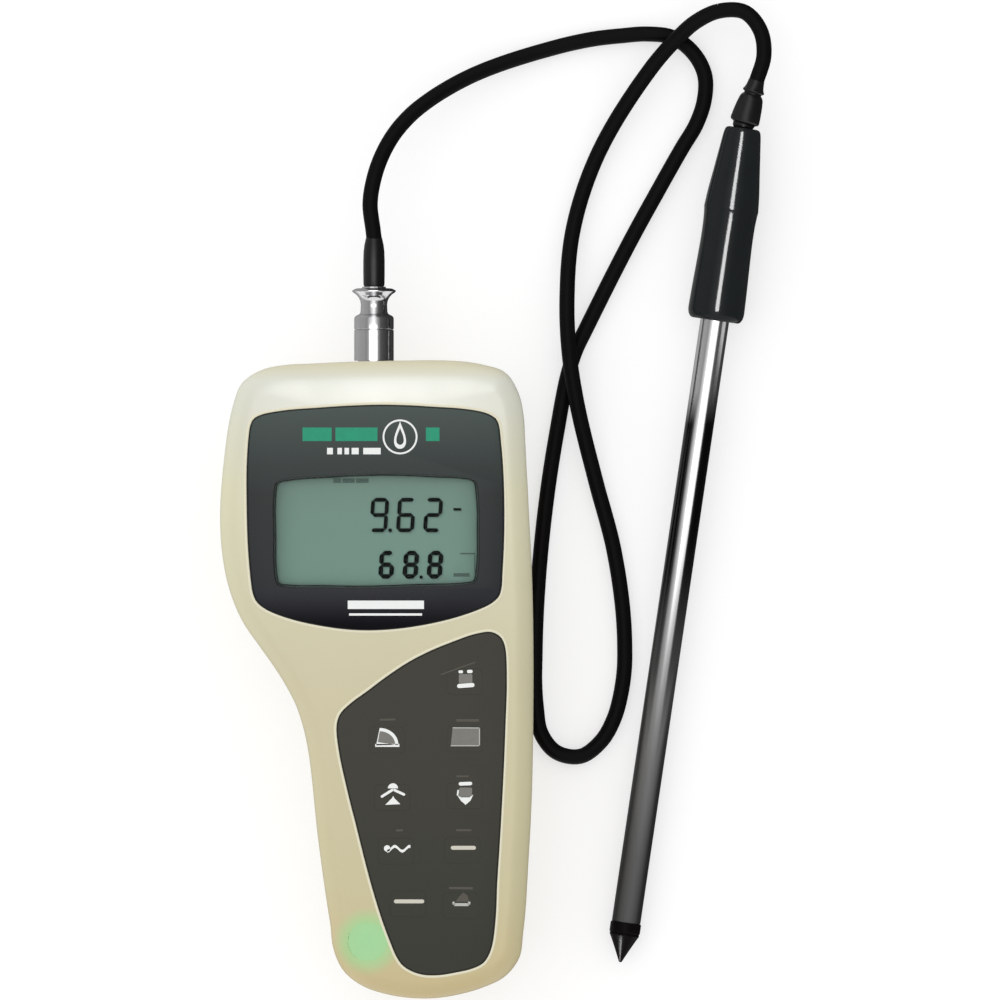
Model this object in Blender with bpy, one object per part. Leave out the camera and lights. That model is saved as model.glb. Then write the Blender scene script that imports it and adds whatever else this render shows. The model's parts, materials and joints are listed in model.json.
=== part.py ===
"""Handheld conductivity meter with a pointed stainless probe on a cable, lying on its back.

Lengths below are in millimetres and become metres when a mesh is made. +X is to the right of the
display, +Y runs from the keypad to the connector, +Z comes out of the display. z = 0 is the table.
Outlines are complex numbers x + iy, listed anticlockwise.
"""

from math import asin, cos, pi, radians, sin, sqrt, tau

import bmesh
import bpy
import numpy as np
from mathutils import Matrix, Vector

MM = 0.001
GAP = 0.3  # clearance between neighbouring pieces

# Case: heights above the table
FRONT_Z = 36.0
SPLIT_Z = 18.0
FRONT_WALL = 2.0
BACK_WALL = 3.2
SIDE_WALL = 2.2
FRONT_EDGE_RADIUS = 6.0
HULL_INSET = 8.0  # how far the back narrows
HULL_HEIGHT = 16.0
RECESS_DEPTH = 1.2
CASE_POINTS = 68
CABLE_POINTS = 84

# Inside the case
BOARD_TOP = 28.0
BOARD_THICKNESS = 1.6
LCD_BOTTOM = 31.0
LCD_TOP = 33.6
LCD_CENTRE = -1.0 + 46.6j
BATTERY_CENTRE = 14.0 - 38.0j
BATTERY_SIZE = (26.5, 48.5, 17.5)
WELL_SIZE = (33.0, 57.0)
WELL_TOP = 20.0
DOOR_SIZE = (40.0, 70.0)
DOOR_THICKNESS = 2.0
DOOR_SCREW_OFFSET = 31.5
KEY_SIZE = (11.0, 8.0)
KEY_FLANGE = 0.7
KEY_TOP = 36.4
KEY_FLANGE_BOTTOM = 33.9
LABEL_CENTRE = -3.5 - 80.5j
LABEL_RADIUS = 6.0

KEYS = {
    "key_power": 26.6 + 0.0j,
    "key_enter": 26.6 - 17.8j,
    "key_down": 26.6 - 35.3j,
    "key_memory": 25.9 - 52.2j,
    "key_light": 25.3 - 69.4j,
    "key_mode": 2.5 - 18.1j,
    "key_up": 4.1 - 35.9j,
    "key_recall": 5.3 - 52.5j,
    "key_calibrate": 9.1 - 68.8j,
}
CASE_SCREWS = {
    "case_screw_top_left": -33.0 + 80.0j,
    "case_screw_top_right": 33.0 + 82.0j,
    "case_screw_bottom_left": 2.0 - 84.0j,
    "case_screw_bottom_right": 29.0 - 84.0j,
}

# Connector, whose axis runs along Y through the parting line
JACK_X = -1.7
SLEEVE_RADIUS = 6.15

# Lead
CABLE_RADIUS = 2.4
CABLE_Z = CABLE_RADIUS  # where it lies on the table
CROSSING_Z = CABLE_Z + 2 * CABLE_RADIUS + 0.4
CABLE_SIDES = 8
WIRE_RADIUS = 0.8

# Probe: distances along its axis are measured from the top of the handle
HANDLE_TOP = 113.3 + 172.2j
PROBE_TILT = radians(8.37)  # from the Y axis, in the plane of the table
HANDLE_LENGTH = 60.6
HANDLE_RADIUS = 8.8
TUBE_END = 250.5
TUBE_RADIUS = 4.5
COLLAR_RADIUS = 4.8
COLLAR_LENGTH = 3.0
TIP_END = 263.1

CASE_OUTLINE = [
    1.6 + 99.4j, -18 + 98.7j, -33.1 + 97.5j, -41.3 + 94j, -45.2 + 86j, -48.1 + 68.8j, -49.3 + 48j,
    -47.2 + 31.3j, -42.5 + 18.8j, -33.8 + 6.3j, -26.3 - 6.3j, -22.5 - 18.8j, -18.8 - 50j, -15.2 - 75j,
    -12.9 - 87j, -5.5 - 94.3j, 14.1 - 98.4j, 34.5 - 94j, 42.5 - 88j, 45 - 75j, 46.3 - 56.3j,
    47.4 - 35j, 47.9 - 0j, 47.5 + 31.3j, 46.6 + 50j, 45.6 + 68.8j, 44.2 + 86j, 40.2 + 95j, 29.1 + 98.8j,
]
BEZEL_OUTLINE = [
    0 + 85.7j, -20 + 84.7j, -33 + 83.4j, -38.8 + 81.3j, -40.3 + 76j, -40.9 + 55j, -39.6 + 31j,
    -37.9 + 24.8j, -32 + 21j, -18 + 17.3j, -2.9 + 15.9j, 15 + 17.8j, 32 + 22.8j, 37.2 + 26.5j,
    38.2 + 33j, 38.8 + 55j, 37.6 + 76j, 36.3 + 81.3j, 31 + 83.7j, 18 + 85j,
]
WINDOW_OUTLINE = [
    1.6 + 64.4j, -16 + 63.7j, -30.8 + 62.2j, -32 + 60.9j, -32.4 + 46j, -31.7 + 31j, -30.5 + 29.8j,
    -18 + 29.3j, -4.4 + 29.1j, 14 + 29.7j, 29 + 30.5j, 30.1 + 31.6j, 30.9 + 46j, 30.1 + 61.4j,
    29 + 62.8j, 18 + 63.8j,
]
KEYPAD_OUTLINE = [
    34.3 + 15.4j, 23.4 + 12.5j, 9.7 + 6.3j, -4 - 3.3j, -11.8 - 9.8j, -13.1 - 15j, -10.3 - 31.3j,
    -7.2 - 43.8j, -4.1 - 56.3j, -0.6 - 68.8j, 3.8 - 81.3j, 7.3 - 87.8j, 14 - 90.8j, 24 - 90j,
    32.2 - 87.2j, 35.2 - 81j, 36.6 - 62.5j, 38.1 - 37.5j, 39.2 - 12.5j, 39.4 + 8j, 38 + 13.4j,
]
BOARD_CORNERS = [38 + 74j, -38 + 74j, -38 + 28j, -18 + 4j, -8 - 20j, 2 - 78j, 34 - 78j, 38 + 20j]
MAT_CORNERS = [32 + 6j, 14 + 2j, -4 - 10j, -5.5 - 22j, -1.5 - 50j, 3.5 - 76j, 32 - 76j]

CABLE_PATH = [
    (-2.0, 140.4, SPLIT_Z), (-2.9, 149, 17.4), (0.3, 162.5, 15.2), (8.4, 175, 12), (26.3, 187.5, 6.6),
    (52.2, 196.9, CABLE_Z), (72, 200.9, CABLE_Z), (92, 200.5, CABLE_Z), (101, 190.6, CABLE_Z),
    (100.6, 178.1, CABLE_Z), (92.2, 162.5, CABLE_Z), (78.4, 137.5, CABLE_Z), (66, 113, CABLE_Z),
    (60, 100, CABLE_Z), (55, 76, CABLE_Z), (51.6, 53, CABLE_Z), (49.4, 30, CABLE_Z),
    (48.5, 10, CABLE_Z), (48.8, -8, CABLE_Z), (52, -20, CABLE_Z), (60.9, -24.2, CABLE_Z),
    (70, -18, CABLE_Z), (75.5, -3.1, CABLE_Z), (76.3, 15.6, CABLE_Z), (73.2, 40, CABLE_Z),
    (67.3, 62.5, CABLE_Z + 0.6), (62, 84, 6.2), (59.2, 101, CROSSING_Z), (58.4, 118.8, 6.2),
    (60.3, 140.6, CABLE_Z + 0.8), (67.5, 163, CABLE_Z + 0.6), (80, 184.5, 5.6),
    (92.5, 200, CROSSING_Z), (104, 208.3, 9), (115.6, 207.5, 9.8), (119.9, 197.5, 10.3),
    (119.1, 192, 10.5), (117.5, 187, 10.5),
]

# colour, metallic, roughness, alpha
FINISHES = {
    "cream_plastic": ((0.70, 0.63, 0.42), 0.0, 0.4, 1.0),
    "dark_trim": ((0.045, 0.05, 0.055), 0.0, 0.35, 1.0),
    "clear_plastic": ((0.75, 0.80, 0.78), 0.0, 0.08, 0.35),
    "lcd_glass": ((0.19, 0.27, 0.23), 0.0, 0.25, 1.0),
    "circuit_board": ((0.03, 0.20, 0.08), 0.0, 0.5, 1.0),
    "black_component": ((0.02, 0.02, 0.02), 0.0, 0.45, 1.0),
    "silicone": ((0.35, 0.35, 0.34), 0.0, 0.7, 1.0),
    "keypad": ((0.055, 0.05, 0.042), 0.0, 0.45, 1.0),
    "battery_jacket": ((0.10, 0.11, 0.13), 0.3, 0.35, 1.0),
    "black_rubber": ((0.012, 0.012, 0.013), 0.0, 0.35, 1.0),
    "screw_steel": ((0.55, 0.55, 0.55), 1.0, 0.3, 1.0),
    "polished_steel": ((0.62, 0.62, 0.62), 1.0, 0.15, 1.0),
    "gold_contact": ((0.80, 0.60, 0.22), 1.0, 0.25, 1.0),
    "white_insulator": ((0.80, 0.79, 0.75), 0.0, 0.5, 1.0),
    "green_label": ((0.42, 0.75, 0.38), 0.0, 0.4, 1.0),
    "black_handle": ((0.012, 0.014, 0.015), 0.0, 0.15, 1.0),
    "wire_jacket": ((0.45, 0.05, 0.04), 0.0, 0.5, 1.0),
}


def clear_scene():
    for obj in list(bpy.data.objects):
        bpy.data.objects.remove(obj)


def finish(name):
    """The named Principled material, made the first time it is asked for."""
    material = bpy.data.materials.get(name)
    if material:
        return material
    colour, metallic, roughness, alpha = FINISHES[name]
    material = bpy.data.materials.new(name)
    material.use_nodes = True
    shader = material.node_tree.nodes["Principled BSDF"]
    shader.inputs["Base Color"].default_value = (*colour, 1.0)
    shader.inputs["Metallic"].default_value = metallic
    shader.inputs["Roughness"].default_value = roughness
    shader.inputs["Alpha"].default_value = alpha
    return material


# ---------------------------------------------------------------- outlines


def spline(points, steps, closed=True):
    """A centripetal Catmull-Rom curve through the given points, with so many steps between neighbours."""
    points = np.array(points)
    if points.ndim == 1:
        points = np.column_stack([points.real, points.imag])
    if closed:
        points = np.vstack([points[-1:], points, points[:2]])
    else:
        points = np.vstack([2 * points[0] - points[1], points, 2 * points[-1] - points[-2]])
    curve = []
    for p0, p1, p2, p3 in zip(points, points[1:], points[2:], points[3:]):
        t1, t2, t3 = np.cumsum([np.linalg.norm(b - a) ** 0.5 for a, b in ((p0, p1), (p1, p2), (p2, p3))])
        for t in np.linspace(t1, t2, steps, endpoint=False):
            a1 = (t1 - t) / t1 * p0 + t / t1 * p1
            a2 = (t2 - t) / (t2 - t1) * p1 + (t - t1) / (t2 - t1) * p2
            a3 = (t3 - t) / (t3 - t2) * p2 + (t - t2) / (t3 - t2) * p3
            b1 = (t2 - t) / t2 * a1 + t / t2 * a2
            b2 = (t3 - t) / (t3 - t1) * a2 + (t - t1) / (t3 - t1) * a3
            curve.append((t2 - t) / (t2 - t1) * b1 + (t - t1) / (t2 - t1) * b2)
    if not closed:
        curve.append(points[-2])
    return np.array(curve)


def evenly(curve, count, closed=True):
    """The same curve as so many points at equal distances."""
    path = np.vstack([curve, curve[:1]]) if closed else curve
    along = np.concatenate([[0], np.cumsum(np.linalg.norm(np.diff(path, axis=0), axis=1))])
    stations = np.linspace(0, along[-1], count, endpoint=not closed)
    return np.column_stack([np.interp(stations, along, axis) for axis in path.T])


def flat(curve):
    """Points (x, y) as complex numbers."""
    return curve[:, 0] + 1j * curve[:, 1]


def inset(curve, distance):
    """The outline moved inwards in steps of about 1 mm, evened out after each so that corners stay round."""
    steps = max(1, round(distance))
    for _ in range(steps):
        ahead, behind = np.roll(curve, -1), np.roll(curve, 1)
        along = (ahead - behind) / abs(ahead - behind)
        curve = curve + 1j * along * distance / steps
        if steps > 1:
            middle = (np.roll(curve, -1) + np.roll(curve, 1)) / 2
            curve = curve + along * ((middle - curve) / along).real
    return curve


def rectangle(centre, size, radius=1.0, steps=2):
    """A rounded rectangle."""
    width, height = size
    corners = [
        centre + complex(sx * (width / 2 - radius), sy * (height / 2 - radius))
        for sx, sy in ((1, 1), (-1, 1), (-1, -1), (1, -1))
    ]
    return np.array([
        corner + radius * np.exp(1j * pi / 2 * (quarter + step / steps))
        for quarter, corner in enumerate(corners)
        for step in range(steps + 1)
    ])


def circle(centre, radius, count=20):
    return centre + radius * np.exp(1j * tau * np.arange(count) / count)


def level(curve, z):
    """An outline as a ring of points at one height."""
    return [(p.real, p.imag, z) for p in curve]


# ---------------------------------------------------------------- solids


def add_object(name, rings, material, wrap=False, parent=None, origin=(0, 0, 0)):
    """A solid skinned over rings of points. A ring of one point closes to a tip. With wrap the last
    ring joins the first, otherwise the end rings are capped. Points are in the parent's frame."""
    bm = bmesh.new()
    shift = Vector(origin)
    loops = [[bm.verts.new((Vector(p) - shift) * MM) for p in ring] for ring in rings]
    pairs = list(zip(loops, loops[1:])) + ([(loops[-1], loops[0])] if wrap else [])
    for lower, upper in pairs:
        size = max(len(lower), len(upper))
        for k in range(size):
            corners = [lower[k % len(lower)], lower[(k + 1) % len(lower)]]
            corners += [upper[(k + 1) % len(upper)], upper[k % len(upper)]]
            bm.faces.new(list(dict.fromkeys(corners)))
    if not wrap:
        for cap in (loops[0], loops[-1]):
            if len(cap) > 2:
                bm.faces.new(cap)
    bmesh.ops.recalc_face_normals(bm, faces=bm.faces)
    mesh = bpy.data.meshes.new(name)
    bm.to_mesh(mesh)
    bm.free()
    mesh.shade_smooth()
    mesh.set_sharp_from_angle(angle=radians(35))
    obj = bpy.data.objects.new(name, mesh)
    obj.location = shift * MM
    obj.parent = parent
    obj.data.materials.append(finish(material))
    bpy.context.scene.collection.objects.link(obj)
    return obj


def plate(name, curve, bottom, top, material="cream_plastic", **placing):
    return add_object(name, [level(curve, bottom), level(curve, top)], material, **placing)


def frame(name, outer, inner, bottom, top, material, **placing):
    """A flat ring between two outlines that have the same number of points."""
    rings = [level(outer, bottom), level(outer, top), level(inner, top), level(inner, bottom)]
    return add_object(name, rings, material, wrap=True, **placing)


def turned(name, profile, material, sides=20, hollow=False, centre=0j, **placing):
    """A profile of (radius, height) pairs turned about Z. A hollow profile is a closed loop."""
    rings = [
        level(circle(centre, radius, sides), z) if radius else [(centre.real, centre.imag, z)]
        for radius, z in profile
    ]
    return add_object(name, rings, material, wrap=hollow, **placing)


def swept(name, path, radii, material, sides=CABLE_SIDES, domed=True, **placing):
    """A round rod along a path, with half-ball ends when domed."""
    path = [Vector(p) for p in path]
    rings = []
    across = (path[1] - path[0]).orthogonal().normalized()
    for k, (point, radius) in enumerate(zip(path, radii)):
        forward = (path[min(k + 1, len(path) - 1)] - path[max(k - 1, 0)]).normalized()
        across = (across - forward * across.dot(forward)).normalized()
        up = forward.cross(across)
        end = -1 if k == 0 else 1 if k == len(path) - 1 else 0
        leans = [radians(a) for a in (0, 45)] if domed and end else [0]
        slices = [
            [
                tuple(point + forward * end * radius * sin(lean)
                      + (across * cos(turn) + up * sin(turn)) * radius * cos(lean))
                for turn in (tau * n / sides for n in range(sides))
            ]
            for lean in leans
        ]
        if domed and end:
            slices.append([tuple(point + forward * end * radius)])
        rings += slices[::-1] if end < 0 else slices
    return add_object(name, rings, material, **placing)


def cutter(obj):
    obj.hide_render = True
    obj.display_type = "WIRE"
    return obj


def combine(target, other, operation="DIFFERENCE"):
    """Cuts the other solid from the target, or joins it on, and hides the other solid."""
    modifier = target.modifiers.new(other.name, "BOOLEAN")
    modifier.operation = operation
    modifier.object = cutter(other)


def empty(name, location, rotation=None, parent=None):
    obj = bpy.data.objects.new(name, None)
    obj.location = Vector(location) * MM
    if rotation is not None:
        obj.rotation_mode = "QUATERNION"
        obj.rotation_quaternion = rotation
    obj.parent = parent
    bpy.context.scene.collection.objects.link(obj)
    return obj


# ---------------------------------------------------------------- case


def hull_inset(z):
    """How far the side of the case has come in at height z, below the parting line."""
    below = max(0.0, (HULL_HEIGHT - z) / HULL_HEIGHT)
    return HULL_INSET * (1 - sqrt(1 - min(1.0, below) ** 2))


def front_inset(z):
    """How far the side of the case has come in at height z, near the rounded front edge."""
    above = max(0.0, z - (FRONT_Z - FRONT_EDGE_RADIUS)) / FRONT_EDGE_RADIUS
    return FRONT_EDGE_RADIUS * (1 - sqrt(1 - min(1.0, above) ** 2))


def make_rear_shell(case):
    rim = SPLIT_Z - 0.8
    outside = [(z, hull_inset(z)) for z in (0, 1, 3.5, 8, rim)]
    inside = [(z, hull_inset(z) + SIDE_WALL) for z in (rim, 8)] + [(BACK_WALL, 6.6)]
    rings = [level(inset(case, depth), z) for z, depth in outside + inside]
    shell = add_object("rear_shell", rings, "cream_plastic")
    for name, place in CASE_SCREWS.items():
        post = plate("post_" + name, circle(place, 4.4, 14), 2, 17)
        combine(shell, post, "UNION")
    well_outer = tuple(side + 3.4 for side in WELL_SIZE)
    well = frame("battery_well", rectangle(BATTERY_CENTRE, well_outer), rectangle(BATTERY_CENTRE, WELL_SIZE),
                 2, WELL_TOP, "cream_plastic")
    combine(shell, well, "UNION")
    for side in (-1, 1):
        place = BATTERY_CENTRE + 1j * side * DOOR_SCREW_OFFSET
        combine(shell, plate("door_boss", circle(place, 2.8, 16), 2, 9), "UNION")
        combine(shell, plate("door_screw_hole", circle(place, 1.5, 12), -1, 7))
    combine(shell, plate("well_opening", rectangle(BATTERY_CENTRE, WELL_SIZE), -1, 6))
    recess = tuple(side + 2 * GAP for side in DOOR_SIZE)
    combine(shell, plate("door_recess", rectangle(BATTERY_CENTRE, recess, 3), -1, DOOR_THICKNESS + GAP))
    for name, place in CASE_SCREWS.items():
        hole = [(0, -1), (3.1, -1), (3.1, 5), (1.7, 5), (1.7, 18), (0, 18)]
        combine(shell, turned("hole_" + name, hole, "cream_plastic", 12, centre=place))
    combine(shell, jack_hole("rear_jack_hole"))
    return shell


def make_front_shell(case, bezel, window, keypad):
    rim = SPLIT_Z + 0.8
    floor = FRONT_Z - RECESS_DEPTH
    ceiling = FRONT_Z - FRONT_WALL
    outside = [(z, front_inset(z)) for z in (FRONT_Z, 35.4, 33.6, 30, rim)]
    inside = [(rim, SIDE_WALL), (31, 2.6), (ceiling, 6.6)]
    rings = [level(inset(case, depth), z) for z, depth in outside + inside]
    shell = add_object("front_shell", rings, "cream_plastic")
    for name, place in CASE_SCREWS.items():
        combine(shell, plate("front_post_" + name, circle(place, 3.6, 14), 19, 34.5), "UNION")
        combine(shell, plate("front_hole_" + name, circle(place, 1.6, 10), 18, 29))
    combine(shell, plate("bezel_recess", bezel, floor, 40))
    combine(shell, plate("window_opening", inset(window, 2), 30, 40))
    combine(shell, plate("keypad_recess", keypad, floor, 40))
    combine(shell, plate("keypad_opening", inset(keypad, 1.8), ceiling - 1, 40))
    combine(shell, plate("label_recess", circle(LABEL_CENTRE, LABEL_RADIUS + GAP), FRONT_Z - 0.9, 40))
    combine(shell, jack_hole("front_jack_hole"))
    return shell


def jack_hole(name):
    rings = [[(JACK_X + p.real, y, SPLIT_Z + p.imag) for p in circle(0, 5.3)] for y in (88, 104)]
    return add_object(name, rings, "cream_plastic")


def make_case(case, bezel, window, keypad):
    make_rear_shell(case)
    make_front_shell(case, bezel, window, keypad)
    gasket = frame("case_gasket", inset(case, 0.5), inset(case, 1.9), SPLIT_Z - 0.5, SPLIT_Z + 0.5, "silicone")
    combine(gasket, jack_hole("gasket_jack_hole"))
    floor = FRONT_Z - RECESS_DEPTH
    rim = plate("bezel", inset(bezel, GAP), floor + GAP, FRONT_Z + 0.2, "dark_trim")
    combine(rim, plate("bezel_opening", window, 30, 40))
    plate("display_window", inset(window, GAP), floor + GAP, FRONT_Z - 0.2, "clear_plastic")
    plate("round_label", circle(LABEL_CENTRE, LABEL_RADIUS), FRONT_Z - 0.6, FRONT_Z - 0.1, "green_label")
    panel = plate("keypad_panel", inset(keypad, GAP), floor + GAP, FRONT_Z + 0.1, "keypad")
    hole = tuple(side + 2 * GAP for side in KEY_SIZE)
    for name, place in KEYS.items():
        combine(panel, plate("hole_" + name, rectangle(place, hole, 1.8), 30, 40))


def make_keys():
    """Each cap has a wider foot that holds it under the panel."""
    foot = tuple(side + 2 * KEY_FLANGE for side in KEY_SIZE)
    foot_top = FRONT_Z - RECESS_DEPTH - 0.2
    for name, place in KEYS.items():
        wide, narrow = rectangle(place, foot, 1.5), rectangle(place, KEY_SIZE, 1.5)
        rings = [level(wide, KEY_FLANGE_BOTTOM), level(wide, foot_top), level(narrow, foot_top), level(narrow, KEY_TOP)]
        add_object(name, rings, "keypad", origin=(place.real, place.imag, KEY_TOP))


def make_screws():
    for name, place in CASE_SCREWS.items():
        profile = [(0, 2.4), (2.8, 2.4), (2.8, 4.6), (1.4, 4.6), (1.4, 27), (0, 28)]
        turned(name, profile, "screw_steel", 12, centre=place)


# ---------------------------------------------------------------- inside the case


def make_display():
    outer, inner = (72, 45), (68.6, 41.6)
    frame("lcd_frame", rectangle(LCD_CENTRE, outer), rectangle(LCD_CENTRE, inner), LCD_BOTTOM - 1, LCD_TOP,
          "white_insulator")
    plate("lcd_panel", rectangle(LCD_CENTRE, (68, 41), 0.5), LCD_BOTTOM, LCD_TOP, "lcd_glass")
    plate("zebra_strip", rectangle(LCD_CENTRE + 17j, (58, 2.4), 0.4), BOARD_TOP + GAP, LCD_BOTTOM - GAP, "silicone")


def make_electronics():
    board_bottom = BOARD_TOP - BOARD_THICKNESS
    plate("main_board", np.array(BOARD_CORNERS), board_bottom, BOARD_TOP, "circuit_board")
    plate("processor_chip", rectangle(10 + 50j, (14, 14), 0.5, 1), board_bottom - 1.9, board_bottom - GAP,
          "black_component")
    mat = plate("keypad_mat", np.array(MAT_CORNERS), BOARD_TOP + GAP, BOARD_TOP + 1.7, "silicone")
    for name, place in KEYS.items():
        combine(mat, plate("dome_" + name, circle(place, 2.6, 12), BOARD_TOP + 1, KEY_FLANGE_BOTTOM - 0.7), "UNION")


def make_battery():
    width, length, height = BATTERY_SIZE
    bottom = 4.6
    centre = BATTERY_CENTRE - 2j
    plate("battery", rectangle(centre, (width, length), 2), bottom, bottom + height, "battery_jacket")
    snap = centre + 1j * (length / 2 + GAP + 2)
    plate("battery_snap", rectangle(snap, (25, 4), 1), bottom + 1, bottom + 14, "black_component")
    wire = [(10, snap.imag, bottom + 15.2), (11, -11, 22), (12, -6, 24.2), (12, -2, 25.3)]
    swept("battery_wire", spline(wire, 2, closed=False), [WIRE_RADIUS] * 7, "wire_jacket")


def make_battery_door():
    pivot = empty("battery_door_slide", (BATTERY_CENTRE.real, BATTERY_CENTRE.imag, 0))
    door = plate("battery_door", rectangle(0j, DOOR_SIZE, 3), 0.05, DOOR_THICKNESS, parent=pivot)
    seal = tuple(side - 2 * GAP for side in WELL_SIZE)
    seal_inner = tuple(side - 4 for side in seal)
    seal_bottom = DOOR_THICKNESS + GAP
    frame("door_seal", rectangle(0j, seal), rectangle(0j, seal_inner), seal_bottom, seal_bottom + 1.5,
          "black_rubber", parent=pivot)
    for side, where in ((-1, "lower"), (1, "upper")):
        place = 1j * side * DOOR_SCREW_OFFSET
        hole = [(0, -1), (2.9, -1), (2.9, 1.4), (1.5, 1.4), (1.5, 4), (0, 4)]
        combine(door, turned("door_hole_" + where, hole, "screw_steel", 12, centre=place, parent=pivot))
        screw = [(0, 0.3), (2.5, 0.3), (2.5, 1.1), (1.2, 1.1), (1.2, 6), (0, 6.6)]
        turned("door_screw_" + where, screw, "screw_steel", 12, centre=place, parent=pivot)


# ---------------------------------------------------------------- connector


def make_jack(axis):
    """The socket in the case. Heights along the connector's axis are world Y."""
    body = [
        (3.4, 84), (3.4, 88), (4.9, 88), (4.9, 100.6), (SLEEVE_RADIUS, 100.6), (SLEEVE_RADIUS, 109.2),
        (5.1, 109.2), (5.1, 102.5), (2.6, 102.5), (2.6, 84),
    ]
    turned("jack_body", body, "polished_steel", hollow=True, parent=axis)
    nut = turned("jack_nut", [(0, 92.2), (7, 92.2), (7, 95.2), (0, 95.2)], "screw_steel", 6, parent=axis)
    combine(nut, turned("jack_nut_bore", [(0, 90), (5.2, 90), (5.2, 99), (0, 99)], "screw_steel", parent=axis))
    turned("jack_oring", [(5.95, 99.7), (5.95, 100.3), (5.2, 100.3), (5.2, 99.7)], "black_rubber", hollow=True,
           parent=axis)
    turned("jack_insulator", [(2.3, 86), (2.3, 103.3), (0.9, 103.3), (0.9, 86)], "white_insulator", 16,
           hollow=True, parent=axis)
    turned("jack_contact", [(0, 84.2), (0.6, 84.2), (0.6, 102.2), (0, 102.2)], "gold_contact", 12, parent=axis)
    wire = [(JACK_X, 82.9, SPLIT_Z), (JACK_X, 78, 18.6), (-1, 72, 21.5), (0, 68, 25.3)]
    swept("jack_wire", spline(wire, 2, closed=False), [WIRE_RADIUS] * 7, "wire_jacket")


def make_plug(axis):
    body = [(4.7, 104.1), (4.7, 110.8), (3.7, 110.8), (3.7, 122.6), (2.4, 122.6), (2.4, 104.1)]
    turned("plug_body", body, "polished_steel", hollow=True, parent=axis)
    turned("plug_insulator", [(2.1, 104.5), (2.1, 112), (0.9, 112), (0.9, 104.5)], "white_insulator", 16,
           hollow=True, parent=axis)
    turned("plug_pin", [(0, 102.6), (0.6, 103), (0.6, 113), (0, 113)], "gold_contact", 12, parent=axis)
    boot = [(0, 116), (2.1, 116), (2.1, 122.9), (3.35, 122.9), (3.4, 130), (3.0, 137.6), (0, 137.6)]
    turned("plug_boot", boot, "black_rubber", 20, parent=axis)


def make_coupling_ring(axis):
    ring = [
        (SLEEVE_RADIUS, 109.5), (SLEEVE_RADIUS, 113.3), (4.6, 114.2), (4.5, 118.4), (5.1, 119.6),
        (6.8, 121), (6.8, 121.6), (6.2, 122.1), (4.0, 122.1), (4.0, 111.2), (5.05, 111.1), (5.05, 109.5),
    ]
    turned("coupling_ring", ring, "polished_steel", 20, hollow=True, parent=axis)


def make_cable():
    path = evenly(spline(CABLE_PATH, 12, closed=False), CABLE_POINTS, closed=False)
    swept("cable", path, [CABLE_RADIUS] * CABLE_POINTS, "black_rubber", origin=CABLE_PATH[0])


# ---------------------------------------------------------------- probe


def probe_frame():
    """The empties of the probe: the cable's end, and the top of the handle with Z towards the tip.
    The handle and the tip's collar both touch the table."""
    widest, collar = HANDLE_LENGTH - 3, TUBE_END + 2
    dip = asin((HANDLE_RADIUS - COLLAR_RADIUS) / (collar - widest))
    height = HANDLE_RADIUS / cos(dip) + widest * sin(dip)
    down = Vector((-sin(PROBE_TILT) * cos(dip), -cos(PROBE_TILT) * cos(dip), -sin(dip)))
    top = Vector((HANDLE_TOP.real, HANDLE_TOP.imag, height))
    pivot = empty("probe_pivot", CABLE_PATH[-1])
    local = top - Vector(CABLE_PATH[-1])
    return empty("probe_axis", local, down.to_track_quat("Z", "Y"), pivot)


def make_handle(axis):
    handle = [
        (5.0, 0), (5.6, 1), (7.1, 12), (8.3, 22), (8.5, 26), (8.2, 35), (8.4, 45), (HANDLE_RADIUS, 57),
        (8.4, 59.6), (7.4, HANDLE_LENGTH), (6.1, HANDLE_LENGTH), (6.1, 58), (4.8, 58), (4.8, 24), (2.9, 24), (2.9, 0),
    ]
    turned("handle", handle, "black_handle", hollow=True, parent=axis)
    turned("handle_seal", [(5.8, 58.3), (5.8, 60.2), (4.8, 60.2), (4.8, 58.3)], "black_rubber", hollow=True, parent=axis)


def make_strain_relief(axis):
    """A tapered rubber boot that leans towards the cable, with a stem inside the handle."""
    end = axis.matrix_world.inverted() @ (Vector(CABLE_PATH[-1]) * MM) / MM
    neck = Vector((0, 0, -1.2))
    lean = (end - neck).normalized()
    stations = [(0.4, 3.6), (1.6, 4.5), (8.6, 3.7), (8.9, 3.0), (9.2, 3.2), (11.2, 3.0)]
    path = [(0, 0, 9), (0, 0, 0.6), tuple(neck)] + [tuple(neck + lean * s) for s, _ in stations]
    radii = [2.5, 2.5, 3.2] + [r for _, r in stations]
    swept("strain_relief", path, radii, "black_rubber", 20, domed=False, parent=axis)


def make_tube(axis):
    tube = [(TUBE_RADIUS, 30), (TUBE_RADIUS, TUBE_END), (4.0, TUBE_END), (4.0, 30)]
    turned("probe_tube", tube, "polished_steel", hollow=True, parent=axis)
    count = 12
    wires = [(0, 0, 12 + 220 * k / (count - 1)) for k in range(count)]
    swept("probe_wires", wires, [1.2] * count, "wire_jacket", 8, parent=axis)
    turned("thermistor", [(0, 234), (1.5, 235), (1.6, 241), (0, 243)], "black_component", 12, parent=axis)


def make_tip(axis):
    start = TUBE_END + GAP
    end = start + COLLAR_LENGTH
    insulator = [
        (0, TUBE_END - 6), (3.6, TUBE_END - 6), (3.6, start), (COLLAR_RADIUS, start), (COLLAR_RADIUS, end),
        (1.6, end), (1.6, end - 4), (0, end - 4),
    ]
    turned("tip_insulator", insulator, "black_component", parent=axis)
    cone_start = end + GAP
    cone = [
        (0, end - 3.5), (1.2, end - 3.5), (1.2, cone_start), (4.4, cone_start), (4.5, cone_start + 0.8),
        (0.6, TIP_END - 0.5), (0, TIP_END),
    ]
    turned("tip_electrode", cone, "black_handle", parent=axis)


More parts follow.
